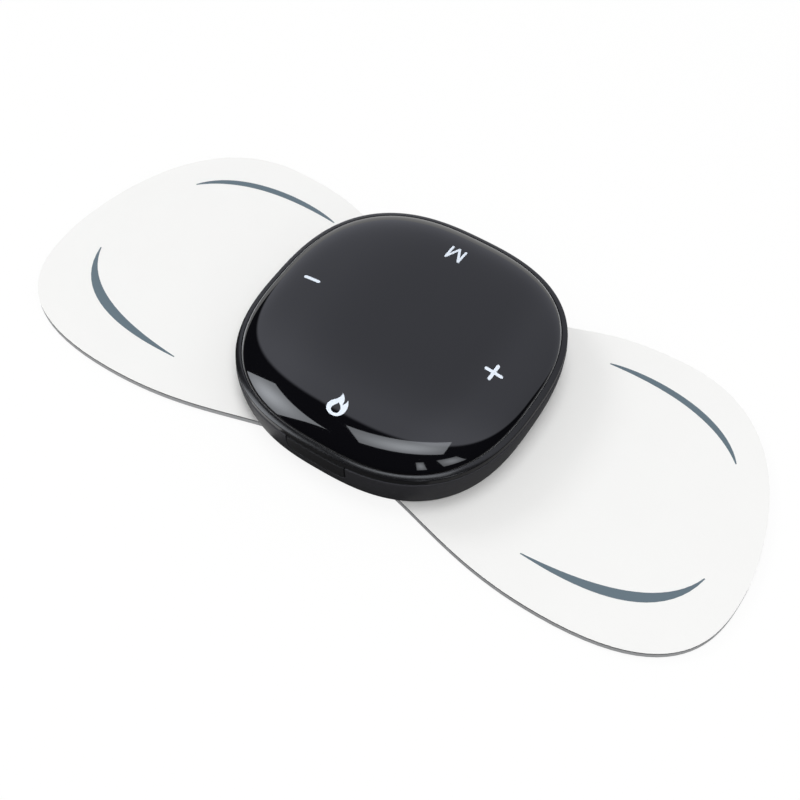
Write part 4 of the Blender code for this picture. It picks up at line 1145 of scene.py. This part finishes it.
def add_lamps():
    """Windows that the gloss shows and soft lights that shape the matt faces."""
    for name, (place, (tilt, turn), (width, height), brightness, window) in LAMPS.items():
        settle()
        rotation = (math.radians(tilt), 0.0, math.radians(turn))
        bpy.ops.object.light_add(type='AREA', location=place, rotation=rotation)
        lamp = bpy.context.object
        lamp.name = name
        lamp.data.shape = 'RECTANGLE'
        lamp.data.size = width
        lamp.data.size_y = height
        lamp.data.energy = brightness * math.pi * width * height
        lamp.data.cycles.max_bounces = 0
        lamp.visible_glossy = window
        lamp.visible_diffuse = not window
        if window:
            lamp.data.color = WINDOW_TINT
            first_hand(lamp.data)


def first_hand(light):
    """Let a window fade to its edges, and keep its mirror images out of the light on other pieces."""
    light.use_nodes = True
    tree = light.node_tree
    depth = node(tree, "ShaderNodeLightPath").outputs["Ray Depth"]
    first = calc(tree, 'LESS_THAN', depth, FIRST_HAND)
    spot = node(tree, "ShaderNodeNewGeometry").outputs["Parametric"]
    away = node(
        tree, "ShaderNodeVectorMath", {0: spot, 1: (0.5, 0.5, 0.0)}, operation='DISTANCE'
    ).outputs["Value"]
    strength = calc(tree, 'MULTIPLY', first, fade(tree, away, *WINDOW_FADE))
    tree.links.new(strength, tree.nodes["Emission"].inputs["Strength"])


def add_camera(scene, stage):
    """The camera at the photograph's angle."""
    settle()
    target = Vector((stage.target_x, stage.target_y, PAD_BOX[1].z))
    turn, rise = stage.azimuth, stage.elevation
    level = math.cos(rise)
    back = Vector((math.sin(turn) * level, -math.cos(turn) * level, math.sin(rise)))
    tilt = (math.pi / 2.0 - rise, 0.0, turn)
    bpy.ops.object.camera_add(location=target + back * stage.distance, rotation=tilt)
    camera = bpy.context.object
    camera.data.lens = stage.lens
    camera.data.sensor_width = 36.0
    scene.camera = camera


class TENS_OT_stage(bpy.types.Operator):
    """Floor, studio light and camera"""

    bl_idname = "tens_unit.stage"
    bl_label = "Stage"

    def execute(self, context):
        scene = context.scene
        stage = scene.tens_stage
        scene.view_settings.view_transform = 'Standard'
        add_floor(stage)
        add_card()
        light_studio(scene, stage)
        add_lamps()
        add_camera(scene, stage)
        return {'FINISHED'}


OPERATORS = (
    TENS_OT_pad_layers,
    TENS_OT_pad_prints,
    TENS_OT_press_studs,
    TENS_OT_housing,
    TENS_OT_port_flap,
    TENS_OT_rim_frame,
    TENS_OT_touch_panel,
    TENS_OT_key_marks,
    TENS_OT_screws,
    TENS_OT_inner_parts,
    TENS_OT_stage,
)


class TENS_PT_builder(bpy.types.Panel):
    """Sidebar list of the unit's pieces"""

    bl_idname = "TENS_PT_builder"
    bl_label = "TENS unit"
    bl_space_type = 'VIEW_3D'
    bl_region_type = 'UI'
    bl_category = "TENS unit"

    def draw(self, context):
        for operator in OPERATORS:
            self.layout.operator(operator.bl_idname)


SETTINGS = {"tens_pad": TensPadSettings, "tens_host": TensHostSettings, "tens_stage": TensStageSettings}


def register():
    for name, group in SETTINGS.items():
        bpy.utils.register_class(group)
        setattr(bpy.types.Scene, name, bpy.props.PointerProperty(type=group))
    for operator in OPERATORS:
        bpy.utils.register_class(operator)
    bpy.utils.register_class(TENS_PT_builder)


def unregister():
    bpy.utils.unregister_class(TENS_PT_builder)
    for operator in reversed(OPERATORS):
        bpy.utils.unregister_class(operator)
    for name, group in SETTINGS.items():
        delattr(bpy.types.Scene, name)
        bpy.utils.unregister_class(group)


def main():
    register()
    for operator in OPERATORS:
        category, action = operator.bl_idname.split(".")
        getattr(getattr(bpy.ops, category), action)()
    settle()


if __name__ == "__main__":
    main()
